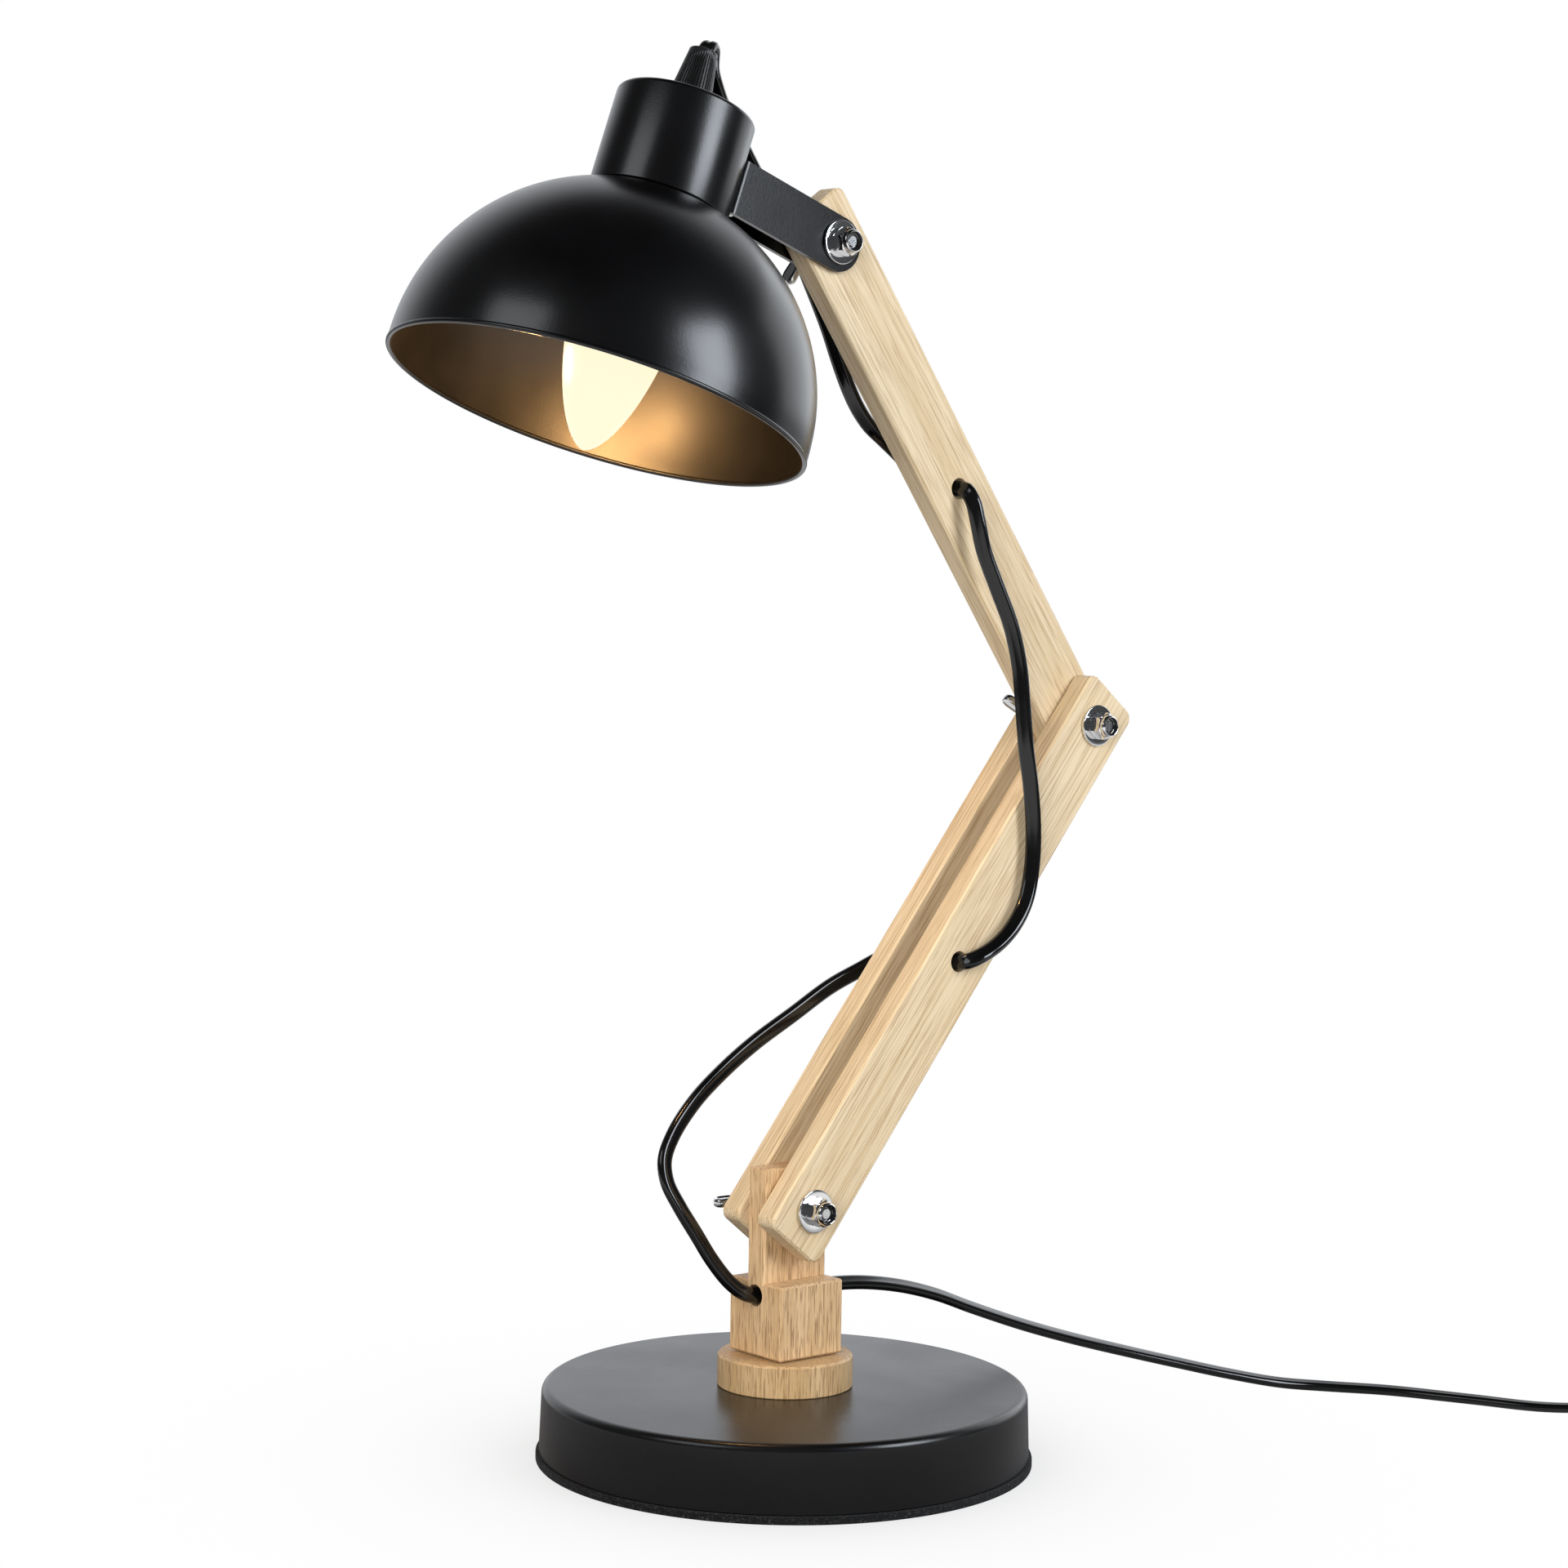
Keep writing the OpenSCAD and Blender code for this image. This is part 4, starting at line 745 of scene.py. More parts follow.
# %% Studs and washers
STUD_R, STUD_CHAMFER, STUD_PAST, STUD_SUNK = 2.5, 0.6, 1.2, 1.3
WASHER_R, WASHER_T, NUT_W, NUT_H, HUB_R, HUB_H = 7.0, 1.2, 8.0, 6.2, 5.0, 6.2


def threaded(length, pitch=0.8, depth=0.28):
    """The outline of a threaded rod with chamfered ends, as (radius, height) points."""
    turns = int((length - 2 * STUD_CHAMFER) / pitch)
    crests = [(STUD_R - depth * (k % 2), STUD_CHAMFER + pitch / 2 * k) for k in range(2 * turns + 1)]
    root, tip = STUD_R - 0.3, STUD_R - 0.3 - STUD_CHAMFER
    return [(0, 0), (tip, 0), (root, STUD_CHAMFER), *crests[1:-1],
            (root, length - STUD_CHAMFER), (tip, length), (0, length)]


def stud(half):
    """The stud of a stack, from inside the lock nut to past the wing nut."""
    length = 2 * half + 2 * WASHER_T + NUT_H + HUB_H + STUD_PAST - STUD_SUNK
    return turn(threaded(length), steps=48, joined=False)


def washer():
    """A stamped washer with rounded rims."""
    bore, rim = STUD_R + 0.23, WASHER_R - 0.3
    return turn([*arc(bore, 0.2, 0.2, 180, 270, 3), *arc(rim, 0.3, 0.3, -90, 0, 4),
                 *arc(rim, WASHER_T - 0.3, 0.3, 0, 90, 4), *arc(bore, WASHER_T - 0.2, 0.2, 90, 180, 3)],
                steps=72)


print("stud outline has", len(threaded(45)), "points")


# %% Lock nuts
def hexagon(across, limit, z, steps=72):
    """A ring on a hexagon, kept inside a circle where the corners are turned off."""
    return ring(lambda a: min(across / 2 / math.cos(a % (math.pi / 3) - math.pi / 6), limit), z, steps)


def lock_nut():
    """A hexagon with turned corners under a round collar, which holds a nylon ring."""
    corner = NUT_W / 2 / math.cos(math.pi / 6)
    collar = [circle(r, z, 72) for r, z in
              [(2.56, NUT_H - 0.1), (2.56, 1.4), (3.0, 1.2), (3.0, 0.25), *arc(3.15, 0.15, 0.15, 180, 270, 3),
               *arc(2.7, 1.1, 1.1, -60, 0, 6), (3.8, 1.7)]]
    flats = [hexagon(NUT_W, limit, z) for limit, z in
             ((3.95, 1.86), (4.25, 1.98), (4.45, 2.16), (corner, 2.5), (corner, NUT_H - 0.4),
              (4.45, NUT_H - 0.15), (4.2, NUT_H))]
    return skin(collar + flats, joined=True)


def nylon_ring():
    """The ring that shows inside the lock nut's collar."""
    return turn([(2.58, 1.35), (2.99, 1.35), (2.99, 0.55), (2.8, 0.4), (2.58, 0.6)], steps=48)


print("lock nut", NUT_W, "mm across its flats")

# %% [markdown]
# A wing nut is cast: two flat ears with soft, pillowed faces on a tapered hub. Each ear is the outline
# round its root and its tip, drawn a few times at different insets, with a skin over those rings.


# %% Outlines of an ear
def hull(points):
    """The outer ring of a set of flat points, anticlockwise."""
    def half(run):
        out = []
        for p in run:
            while len(out) > 1 and ((out[-1][0] - out[-2][0]) * (p[1] - out[-2][1])
                                    <= (out[-1][1] - out[-2][1]) * (p[0] - out[-2][0])):
                out.pop()
            out.append(p)
        return out[:-1]
    run = sorted(set(points))
    return half(run) + half(run[::-1])


def evenly(loop, count):
    """The same loop with count points at even distances."""
    loop = [Vector(p) for p in loop]
    sides = [(b - a).length for a, b in zip(loop, loop[1:] + loop[:1])]
    out, i, done = [], 0, 0.0
    for k in range(count):
        goal = sum(sides) * k / count
        while done + sides[i] < goal:
            done += sides[i]
            i += 1
        out.append(loop[i].lerp(loop[(i + 1) % len(loop)], (goal - done) / sides[i]))
    return out


print("a square with a point inside has", len(hull([(0, 0), (2, 0), (2, 2), (0, 2), (1, 1)])), "outer points")

# %% Wing nuts
WING_SPAN, WING_H, WING_T, WING_TIP_R = 26.4, 9.5, 2.8, 2.9


def wing(way):
    """One wing: a flat ear with pillowed faces, to one side of the stud."""
    def ear_ring(inset, y):
        root = [(HUB_R - 2.4, 0.4 + inset), (HUB_R - 2.4, HUB_H - 0.8 - inset)]
        ear = arc(WING_SPAN / 2 - WING_TIP_R, WING_H - WING_TIP_R, WING_TIP_R - inset, 0, 360, 24)[:-1]
        return [(way * p.x, y, p.y) for p in evenly(hull(root + ear), 64)]
    half = WING_T / 2
    pillow = [(1.1, half - 0.35), (0.75, half), (0.3, half - 0.25), (0.06, half - 0.7)]
    return skin([ear_ring(inset, -y) for inset, y in pillow] + [ear_ring(0, 0)]
                + [ear_ring(inset, y) for inset, y in pillow[::-1]], capped=True)


def wing_hub():
    """The nut's round hub, tapered and bored."""
    return turn([(STUD_R + 0.1, 0), *arc(HUB_R - 0.3, 0.3, 0.3, -90, 0, 3),
                 *arc(HUB_R - 1.3, HUB_H - 0.5, 0.5, 0, 90, 4), (STUD_R + 0.4, HUB_H),
                 (STUD_R + 0.1, HUB_H - 0.4)], steps=72)


print("a wing spans", WING_SPAN, "mm")

# %% Pivots
STACK_HALF, EAR_HALF, WING_PLAY = 13.0, 6.3, 0.05


def along_y(y):
    """A frame that stands on the plane y, with its own Z along +Y."""
    return Matrix.Translation((0, y, 0)) @ Matrix.Rotation(-math.pi / 2, 4, "X")


def together(*parts):
    """One mesh of several (place, mesh) pairs."""
    bm = bmesh.new()
    for where, part in parts:
        part.transform(where)
        mesh = bpy.data.meshes.new("part")
        part.to_mesh(mesh)
        part.free()
        bm.from_mesh(mesh)
        bpy.data.meshes.remove(mesh)
    return bm


def pivot(name, where, body, half, upright, wing_turn):
    """Stud, washers, lock nut, nylon ring and wing nut of one pivot."""
    front = -half - WASHER_T - NUT_H
    bolt = together((along_y(front + STUD_SUNK), stud(half)))
    pair = together((along_y(half), washer()), (along_y(-half - WASHER_T), washer()))
    nut = together((along_y(front), lock_nut()))
    nylon = together((along_y(front), nylon_ring()))
    seat = along_y(half + WASHER_T + WING_PLAY) @ Matrix.Rotation(math.radians(wing_turn), 4, "Z")
    wings = together((seat, wing_hub()), (seat, wing(-1)), (seat, wing(1)))
    make(name + "_bolt", bolt, where, body, steel, name + "_stud")
    make(name + "_washer_pair", pair, where, body, chrome, name + "_washers")
    make(name + "_nut", nut, where, body, chrome, name + "_lock_nut")
    make(name + "_nylon_ring", nylon, where, body, black_plastic)
    make(name + "_wings", wings, upright, name + "_wing_nut", chrome, name + "_wing_nut")


pivot("shoulder", AT_LOWER, "lower_arm", STACK_HALF, placed(SHOULDER), 174)
pivot("elbow", AT_ELBOW, "lower_arm", STACK_HALF, placed(ELBOW), 221)
pivot("head", AT_HEAD, "head", EAR_HALF, placed(HEAD_PIVOT), 108)

# %% [markdown]
# ## Lamp holder, bulb and cord grip
# Under the cap, a black moulded holder passes through the shade and a ribbed ring screws up against it
# from inside. On top, a ribbed cone of plastic grips the cord so that a pull never reaches the wires.

# %% Cord grip
GRIP_H, GRIP_R, GRIP_TOP_R, GRIP_BORE_R, GRIP_STEPS = 18.6, 7.2, 4.4, 3.5, 12
FLANGE_H, RIM_H, RIBS, RIB_DEPTH = 1.62, 1.18, 40, 0.36


def ribbed(radius, z, ribs=RIBS, depth=0.0, per_rib=8):
    """A ring with shallow grooves between its ribs."""
    return ring(lambda a: radius - depth * max(0.0, math.cos(a * ribs)) ** 1.5, z, ribs * per_rib)


def grip_rings():
    """A flange, the ribbed cone, a plain rim at its top and the bore for the cord."""
    flange = [(NIPPLE_HOLE_R, 0), *arc(GRIP_R, 0.3, 0.3, -90, 0, 3), *arc(GRIP_R, 1.3, 0.3, 0, 90, 3)]
    rings = [ribbed(r, z) for r, z in flange]
    for k in range(GRIP_STEPS + 1):
        z = FLANGE_H + (GRIP_H - FLANGE_H - RIM_H) * k / GRIP_STEPS
        cone = GRIP_R - (GRIP_R - GRIP_TOP_R) * z / GRIP_H
        rings.append(ribbed(cone, z, depth=RIB_DEPTH * min(1, k / 1.5, (GRIP_STEPS - k) / 1.5)))
    rim = [*arc(GRIP_TOP_R - 0.35, GRIP_H - 0.5, 0.5, 10, 110, 5), (GRIP_BORE_R + 0.1, GRIP_H - 0.1),
           (GRIP_BORE_R, GRIP_H - 0.6), (GRIP_BORE_R, GRIP_H - 8)]
    return rings + [ribbed(r, z) for r, z in rim]


ON_CAP = AT_CAP @ Matrix.Translation((0, 0, CAP_H))
make("grip_cone", skin(grip_rings(), joined=True), ON_CAP, "head", black_plastic, "cord_grip", sharp=50)

# %% Clamp ring
RING_R, RING_H, RING_RIBS, HOLDER_R = 19.5, 5.6, 36, 13.83
ring_top = math.sqrt((SHADE_R - SHADE_WALL) ** 2 - RING_R**2) - SHADE_DROP - SEAM_GAP
clamp_rings = [ribbed(r, ring_top + z, RING_RIBS, depth) for r, z, depth in
               ((HOLDER_R, 0, 0), (RING_R - 0.3, 0, 0), (RING_R, -0.3, 0), (RING_R, -1.2, 0),
                (RING_R - 0.2, -1.6, 0.5), (RING_R - 1.9, -RING_H + 0.7, 0.6), (RING_R - 2.6, -RING_H, 0),
                (HOLDER_R, -RING_H, 0))]
make("clamp_ring", skin(clamp_rings, joined=True), AT_CAP, "head", black_plastic, "holder_ring", sharp=50)

# %% [markdown]
# The bulb is a frosted candle bulb that is switched on. Its glass glows evenly and a little warmer
# toward the neck. A small warm lamp in its middle lights the inside of the shade, and the glass lets
# that light through because it casts no shadow. One small lamp lights mostly one side of a satin bowl,
# so a second, weaker one beside the glass makes the sheen on the other side.

# %% Bulb
BULB_TIP, BULB_R, BULB_NOSE, NECK_R, NECK_Z = 79.5, 17.1, 56.0, 10.0, -3.0
GLASS_L = BULB_TIP + NECK_Z


def make_bulb_glass():
    """Frosted glass that is lit from inside."""
    material, tree, shader = finish_named("bulb_glass", Base_Color=(0.02, 0.018, 0.012, 1),
                                          Emission_Strength=1.0, Specular_IOR_Level=0.12)
    place = on_piece(tree)
    axis = put(tree, "Mapping", {"Vector": place, "Rotation": (0, -math.radians(HEAD_TILT), 0)})
    height = put(tree, "SeparateXYZ", {0: axis.outputs[0]}).outputs["Z"]
    seam = Matrix.Rotation(-math.radians(HEAD_TILT), 3, "Y") @ AT_CAP.translation
    warm = ramp(tree, height, seam.z - 0.062, seam.z - 0.012, smooth=True)
    glow = two_tone(tree, warm, (1.0, 0.955, 0.70, 1), (1.0, 0.80, 0.40, 1))
    frost = ramp(tree, noise(tree, place, 900.0, 2.0), 0.0, 1.0, 0.25, 0.45)
    fill(tree, shader.inputs, {"Emission Color": glow, "Roughness": frost})
    return material


def bulb_radius(d):
    """Radius of the glass at a distance d from the tip."""
    if d < BULB_NOSE:
        return BULB_R * (1 - (1 - d / BULB_NOSE) ** 2) ** 0.6
    along = (d - BULB_NOSE) / (GLASS_L - BULB_NOSE)
    return NECK_R + (BULB_R - NECK_R) / 2 * (1 + math.cos(math.pi * along))


glass_outline = [(bulb_radius(d), d - BULB_TIP) for d in (GLASS_L * (k / 56) ** 1.7 for k in range(57))]
bulb = make("bulb_envelope", turn(glass_outline, steps=96, joined=False), AT_CAP, "head", make_bulb_glass(),
            "bulb_glass", sharp=70)
bulb.visible_shadow = bulb.visible_glossy = False

# %% Light of the bulb
BULB_TINT = (1.0, 0.54, 0.20)
for name, spot, watts in (("bulb_light", (-4, 3.4, -46), 0.34), ("bulb_sheen", (-19, 16, -57), 0.22)):
    glow = in_scene(name, bpy.data.lights.new(name, "POINT"))
    glow.data.color, glow.data.energy, glow.data.shadow_soft_size = BULB_TINT, watts, 0.006
    glow.location = AT_CAP @ Vector(spot)
    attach(glow, "head")
    print(name, "at", [round(x, 3) for x in glow.location])

# %% Pieces inside the head and the base
dress(black_plastic, "holder_body")
dress(steel, "bracket_screws", "bracket_nuts", "nipple", "nipple_nut", "bulb_cap", "swivel_bolt",
      "swivel_spring", "switch_screws")
dress(brass, "socket_shell", "socket_contact", "bulb_contact", "swivel_insert")
dress(iron, "base_weight")
dress(black_plastic, "thrust_washer")

# %% [markdown]
# ## Switch, tie and plug on the lead
# These lie past the picture's edge, where the spare cord is put away. The switch is two moulded
# shells with a rocker, the coil is held by a woven strap, and the flat two-pin plug has a ribbed
# sleeve that keeps the cord from kinking.

# %% Switch shells
SWITCH_L, SWITCH_W, SWITCH_SEAM, SWITCH_TOP, SWITCH_CORNER = 56.0, 26.0, 9.0, 17.0, 9.0
BROW_IN, BROW_H, ROCKER_L, ROCKER_W = 2.6, 2.4, 20.0, 11.0


def rounded(length, width, corner, z, steps=9):
    """A rectangle with round corners, about the switch's middle."""
    points = []
    for x, y, first in ((1, 1, 0), (-1, 1, 90), (-1, -1, 180), (1, -1, 270)):
        cx, cy = x * (length / 2 - corner), y * (width / 2 - corner)
        points += [(SWITCH_L / 2 + px, py, z) for px, py in arc(cx, cy, corner, first, first + 90, steps)]
    return points


def shell(inset, z):
    """One ring of the switch's outside."""
    return rounded(SWITCH_L - 2 * inset, SWITCH_W - 2 * inset, SWITCH_CORNER - inset * 0.7, z)


def window(out, z):
    """One ring of the rocker's window."""
    return rounded(ROCKER_L + 1 + 2 * out, ROCKER_W + 1 + 2 * out, 0.6 + out, z)


print("switch", SWITCH_L, "by", SWITCH_W, "mm")

# %% Switch meshes
foot = [shell(i, z) for i, z in ((1.3, 0), (0.7, 0.15), (0.2, 0.6), (0, 1.3))]
foot += [shell(i, SWITCH_SEAM - drop) for i, drop in ((0, 0.3), (0.12, 0.1), (0.4, 0.02))]
switch_low = make("switch_lower_shell", skin(foot, capped=True), AT_LAY, "base", black_plastic, "switch_base")
cover = [shell(i, SWITCH_SEAM + rise) for i, rise in ((0.4, 0.02), (0.12, 0.1), (0, 0.3))]
cover += [shell(BROW_IN * (1 - math.cos(a)), SWITCH_TOP - BROW_H + BROW_H * math.sin(a))
          for a in (math.pi / 2 * k / 7 for k in range(8))]
cover += [window(out, SWITCH_TOP - drop) for out, drop in ((1.2, 0), (0.5, 0.15), (0, 0.7))]
cover.append(window(0, SWITCH_SEAM + 0.02))
switch_top = make("switch_upper_shell", skin(cover, joined=True), AT_LAY, "base", black_plastic,
                  "switch_cover")

# %% Rocker
ROCKER_Z, ROCKER_TILT, KEY_R, KEY_TOP, KEY_FOOT, KEY_END, KEY_DIP = 13.0, 7.0, 9.67, 6.4, -1.2, 9.5, 0.7
rocker_skin = skin_finish("rocker_skin", (0.012, 0.012, 0.013), (0.020, 0.020, 0.021), 0.24, 0.34,
                          grain=1100, patch=90, depth=0.012)


def rocker_side(inset):
    """The rocker's side outline: a flat foot, rounded ends and a shallow dip on top."""
    r, top, low, end = KEY_R - inset, KEY_TOP - inset, KEY_FOOT + inset, KEY_END - inset
    first, last = math.asin(math.sqrt(r * r - end * end) / r), math.asin(top / r)
    right = [(r * math.cos(a), r * math.sin(a)) for a in (first + (last - first) * k / 8 for k in range(9))]
    edge = right[-1][0]
    across = [edge - 2 * edge * k / 14 for k in range(1, 14)]
    dip = [(x, top - KEY_DIP * (1 - (x / edge) ** 2)) for x in across]
    return [(end, low), *right, *dip, *[(-x, z) for x, z in right[::-1]], (-end, low)]


key_edge = [(inset, ROCKER_W / 2 - back) for inset, back in ((0.7, 0), (0.3, 0.1), (0.06, 0.35), (0, 0.7))]
key_rings = [[(x, y, z) for x, z in rocker_side(inset)]
             for inset, y in [(i, -y) for i, y in key_edge] + key_edge[::-1]]
rocker_at = (AT_LAY @ Matrix.Translation((SWITCH_L / 2, 0, ROCKER_Z))
             @ Matrix.Rotation(math.radians(ROCKER_TILT), 4, "Y"))
rocker_key = make("rocker_key", skin(key_rings, capped=True), rocker_at, "switch_rocker", rocker_skin,
                  "switch_rocker", slot="rocker")

# %% Tie
TIE_IN, TIE_OUT, TIE_LOW, TIE_HIGH, TIE_T, TIE_HALF, TIE_TURN = 19.975, 37.85, 0.7, 12.6, 0.7, 4.5, 145


def make_strap():
    """Woven strap: fine crossing threads with a soft nap."""
    material, tree, shader = finish_named("tie_strap", Roughness=0.95, Sheen_Weight=0.3)
    threads = {"Vector": on_piece(tree), "Scale": 420.0, "Distortion": 1.2, "Detail": 2.0}
    rows = [put(tree, "TexWave", threads, bands_direction=way).outputs["Fac"] for way in ("DIAGONAL", "Z")]
    weave = calc(tree, "MULTIPLY", *rows)
    tint = two_tone(tree, weave, (0.012, 0.012, 0.013, 1), (0.05, 0.05, 0.052, 1))
    fill(tree, shader.inputs, {"Base Color": tint})
    relief(tree, shader, weave, 0.12)
    return material


def strap_loop(grow, corner, y):
    """One edge of the strap where it goes round the bundle."""
    x0, x1, z0, z1 = TIE_IN - grow, TIE_OUT + grow, TIE_LOW - grow, TIE_HIGH + grow
    points = []
    for x, z, first in ((x1, z1, 0), (x0, z1, 90), (x0, z0, 180), (x1, z0, 270)):
        cx, cz = x - math.copysign(corner, x - (x0 + x1) / 2), z - math.copysign(corner, z - (z0 + z1) / 2)
        points += [(px, y, pz) for px, pz in arc(cx, cz, corner, first, first + 90, 5)]
    return points


strap_rings = [strap_loop(grow, corner, y) for grow, corner, y in
               ((TIE_T - 0.15, 1.1, -TIE_HALF), (TIE_T, 1.2, -TIE_HALF + 0.2), (TIE_T, 1.2, TIE_HALF - 0.2),
                (TIE_T - 0.15, 1.1, TIE_HALF), (0.1, 0.6, TIE_HALF), (0, 0.5, TIE_HALF - 0.1),
                (0, 0.5, -TIE_HALF + 0.1), (0.1, 0.6, -TIE_HALF))]
tie_at = (AT_LAY @ Matrix.Translation((COIL_AT.x, COIL_AT.y, 0))
          @ Matrix.Rotation(math.radians(TIE_TURN), 4, "Z"))
tie = make("coil_strap", skin(strap_rings, joined=True), tie_at, "base", make_strap(), "coil_tie",
           slot="tie")

# %% Plug
PLUG_W, PLUG_T, PLUG_L, SLEEVE_L, NECK_W, NECK_T, SHOULDER_L = 35.0, 13.7, 34.0, 22.0, 16.6, 11.8, 17
PLUG_AT = AT_LAY @ Matrix.Translation(PLUG_SPOT) @ Matrix.Rotation(-math.pi / 2, 4, "X")


def oval(width, thick, z, steps=64, power=0.62):
    """A soft oval ring, between an ellipse and a rectangle."""
    points = []
    for k in range(steps):
        a = 2 * math.pi * k / steps
        x, y = (math.copysign(abs(v) ** power, v) for v in (math.cos(a), math.sin(a)))
        points.append((width / 2 * x, thick / 2 * y, z))
    return points


def plug_rings():
    """Ribbed sleeve, shoulders that spread to the plug's width, and a rounded front."""
    rings = [oval(7.4, 6.2, 0), oval(8.2, 7.0, 0.4)]
    for k in range(7):
        z = 1.4 + 2.8 * k
        w, t = 8.4 + 4.0 * z / SLEEVE_L, 7.2 + 3.1 * z / SLEEVE_L
        for sunk, on in ((0, 0), (0, 1.5), (1.4, 1.8), (1.4, 2.5)):
            rings.append(oval(w - sunk, t - sunk, z + on))
    rings += [oval(12.6, 10.4, SLEEVE_L - 1), oval(15.6, 11.2, SLEEVE_L), oval(16.4, 11.7, SLEEVE_L + 0.6)]
    for k in range(1, 11):
        share = k / 10
        ease = share * share * (3 - 2 * share)
        rings.append(oval(NECK_W + (PLUG_W - NECK_W) * ease, NECK_T + (PLUG_T - NECK_T) * ease,
                          SLEEVE_L + 0.6 + SHOULDER_L * share))
    front = ((0, 1.2), (0.3, 0.5), (1.0, 0.1), (1.8, 0))
    return rings + [oval(PLUG_W - sunk, PLUG_T - sunk, SLEEVE_L + PLUG_L - back) for sunk, back in front]


plug = make("plug_shell", skin(plug_rings(), capped=True), PLUG_AT, "base", black_plastic, "plug_body",
            sharp=40)

# %% Plug pins
PIN_R, PIN_L, PIN_GAP, SLEEVED = 2.0, 19.0, 18.6, 10.0
tip_outline = [(0, SLEEVED - 1), (PIN_R - 0.1, SLEEVED - 1), *arc(PIN_R - 0.9, PIN_L - 0.9, 0.8, 0, 90, 5),
               (0, PIN_L - 0.1)]
sleeve_outline = [(0, -1), (PIN_R, -1), (PIN_R, SLEEVED - 0.2), (PIN_R - 0.2, SLEEVED), (0, SLEEVED)]


def pin_pair(outline):
    """Two of the same, side by side on the plug's front."""
    spots = [Matrix.Translation((side * PIN_GAP / 2, 0, SLEEVE_L + PLUG_L)) for side in (-1, 1)]
    return together(*((spot, turn(outline, 32, False)) for spot in spots))


pins = make("plug_pin_tips", pin_pair(tip_outline), PLUG_AT, "base", steel, "plug_pins")
pin_sleeves = make("plug_pin_sleeves", pin_pair(sleeve_outline), PLUG_AT, "base", black_plastic)

# %% [markdown]
# With its pieces made, the lengths of the four cords are added up.

total = sum(length for _, _, length in (head_cord, elbow_cord, shoulder_cord, mains_cord))
print("declared 4 cords,", round(total, 3), "m in all")

# %% [markdown]
# ## Floor, room and lights
# The picture is a studio shot on white. The floor is a grey card that the camera sees washed with
# white. The wash is weaker near the base, which paints a soft shadow in a ring round the base on top of
# the lamp's real shadow that the card takes. Farther out the wash is whole, so no edge shows. Mirrors see
# the floor white only in a ring round the lamp, so the base's side stays dark. The room is a white
# backdrop behind the lamp that ends overhead, and it is dim to the sides and toward the camera. That dim
# part is what makes black enamel look black and chrome look sharp.

# %% Floor
# SHADOW_R and SHADOW_FALL set the reach and falloff of the painted shadow round the base
FLOOR_HALF, SHADOW_R, SHADOW_FALL = 12.0, 0.052, 3.5
MIRROR_NEAR, MIRROR_FULL, MIRROR_FADE, MIRROR_END = 0.17, 0.40, 1.0, 1.6


def plain_sight(tree):
    """One for rays from the camera, straight or through glass."""
    ray = put(tree, "LightPath").outputs
    return calc(tree, "MAXIMUM", ray["Is Camera Ray"], ray["Is Transmission Ray"])


def make_floor():
    """A grey card that takes shadow, washed with white for the camera, less near the base: a painted shadow.
    """
    material = bpy.data.materials.new("studio_floor")
    material.use_nodes = True
    tree = material.node_tree
    tree.nodes.remove(tree.nodes["Principled BSDF"])
    place = put(tree, "NewGeometry").outputs["Position"]
    reach = put(tree, "VectorMath", {0: place}, operation="LENGTH").outputs["Value"]
    # painted shadow: the grey card's share grows toward the base by distance alone, so the floor darkens
    # round it even where no shadow falls
    card = calc(tree, "POWER", calc(tree, "DIVIDE", SHADOW_R, reach, clamp=True), SHADOW_FALL)
    seen = calc(tree, "MULTIPLY", calc(tree, "SUBTRACT", 1.0, card), plain_sight(tree))
    sheet = calc(tree, "MULTIPLY", ramp(tree, reach, MIRROR_NEAR, MIRROR_FULL, smooth=True),
                 ramp(tree, reach, MIRROR_FADE, MIRROR_END, 1.0, 0.0))
    mirrored = calc(tree, "MULTIPLY", sheet, put(tree, "LightPath").outputs["Is Glossy Ray"])
    matt = put(tree, "BsdfDiffuse", {"Color": (0.32, 0.32, 0.325, 1)})
    white = put(tree, "Emission", {"Color": grey(1), "Strength": 1.0})
    both = put(tree, "MixShader", {0: calc(tree, "MAXIMUM", seen, mirrored), 1: matt.outputs[0],
                                   2: white.outputs[0]})
    fill(tree, tree.nodes["Material Output"].inputs, {"Surface": both.outputs[0]})
    return material


corners = [(FLOOR_HALF * x, FLOOR_HALF * y, 0) for x, y in ((1, 1), (-1, 1), (-1, -1), (1, -1))]
bm = skin([corners])
bm.faces.new(bm.verts)
floor = as_object("floor", bm, make_floor(), sharp=30)
print("floor", FLOOR_HALF * 2, "m wide")

# %% Room
BACKDROP_WAY, BACKDROP_TINT = (0.644, 0.765, 0), (0.97, 1.0, 1.05, 1)


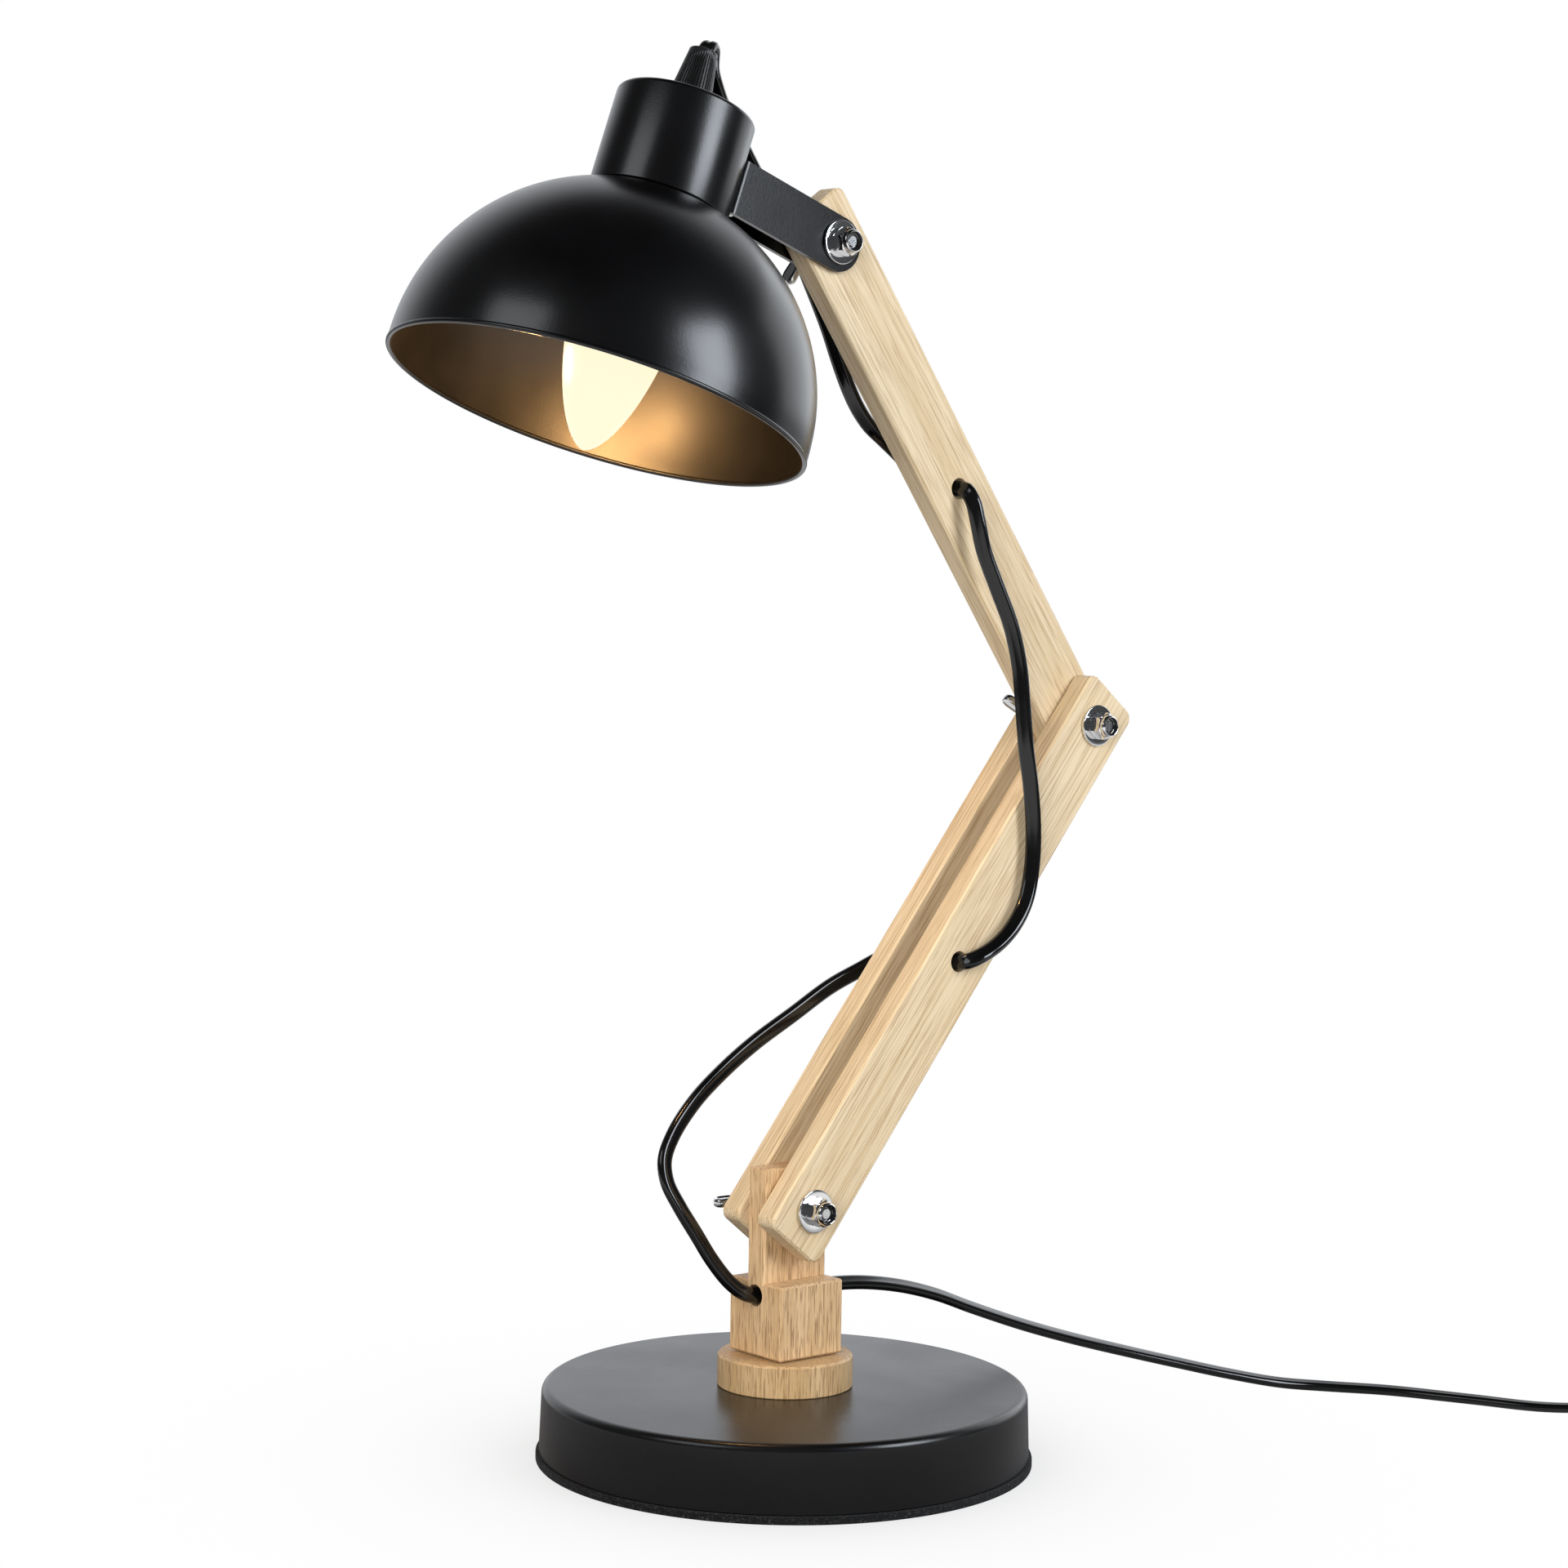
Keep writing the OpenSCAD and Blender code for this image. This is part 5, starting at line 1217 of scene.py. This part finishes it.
def make_room():
    """A backdrop in front of the camera, dim elsewhere. The camera itself sees plain white."""
    world = bpy.data.worlds.new("studio")
    world.use_nodes = True
    tree = world.node_tree
    way = put(tree, "TexCoord").outputs["Generated"]
    ahead = put(tree, "VectorMath", {0: way, 1: BACKDROP_WAY}, operation="DOT_PRODUCT").outputs["Value"]
    height = put(tree, "SeparateXYZ", {0: way}).outputs["Z"]
    bright = calc(tree, "MULTIPLY", ramp(tree, ahead, 0.27, 0.85, 0.07, 1.0, smooth=True),
                  ramp(tree, height, 0.7, 0.95, 1.0, 0.15, smooth=True))
    room = two_tone(tree, bright, grey(0), BACKDROP_TINT)
    level = two_tone(tree, plain_sight(tree), room, grey(1))
    fill(tree, tree.nodes["Background"].inputs, {"Color": level, "Strength": 1.0})
    return world


scene.world = make_room()
print("room made")

# %% [markdown]
# Black enamel shows each light as its own picture, so the soft boxes stand where the dome's highlights
# are: a strong one to the right of the camera, a weak one on the left, and a large faint one behind on
# the right, which draws the bright edge of cap and dome. The wood gets much of its light from a wide
# fill that mirrors don't show.


# %% Lights
def softbox(name, spot, size, power, tint=(1, 1, 1)):
    """A rectangular studio light that faces the lamp's middle."""
    data = bpy.data.lights.new(name, "AREA")
    data.shape, data.size, data.size_y = "RECTANGLE", size[0], size[1]
    data.energy, data.color = power, tint
    box = in_scene(name, data)
    box.location = spot
    box.rotation_mode = "QUATERNION"
    box.rotation_quaternion = (LAMP_MIDDLE - Vector(spot)).to_track_quat("-Z", "Y")
    return box


LAMP_MIDDLE = Vector((0.02, 0, 0.22))
softbox("right_box", (0.42, -1.13, 0.69), (0.53, 0.66), 12.6, (0.90, 0.96, 1.04))
softbox("left_box", (-1.07, -0.07, 0.88), (0.62, 0.52), 2.7, (0.96, 1.0, 1.04))
wide_fill = softbox("wide_fill", (-1.34, -0.78, 0.6), (1.2, 1.2), 26.0)
wide_fill.visible_glossy = False
edge_box = softbox("edge_box", (1.51, 0.08, 0.66), (1.26, 0.98), 4.0, (0.96, 1.0, 1.04))
edge_box.visible_camera = False

# %% [markdown]
# Last, the script says that it is done.

# %% End
print("done")
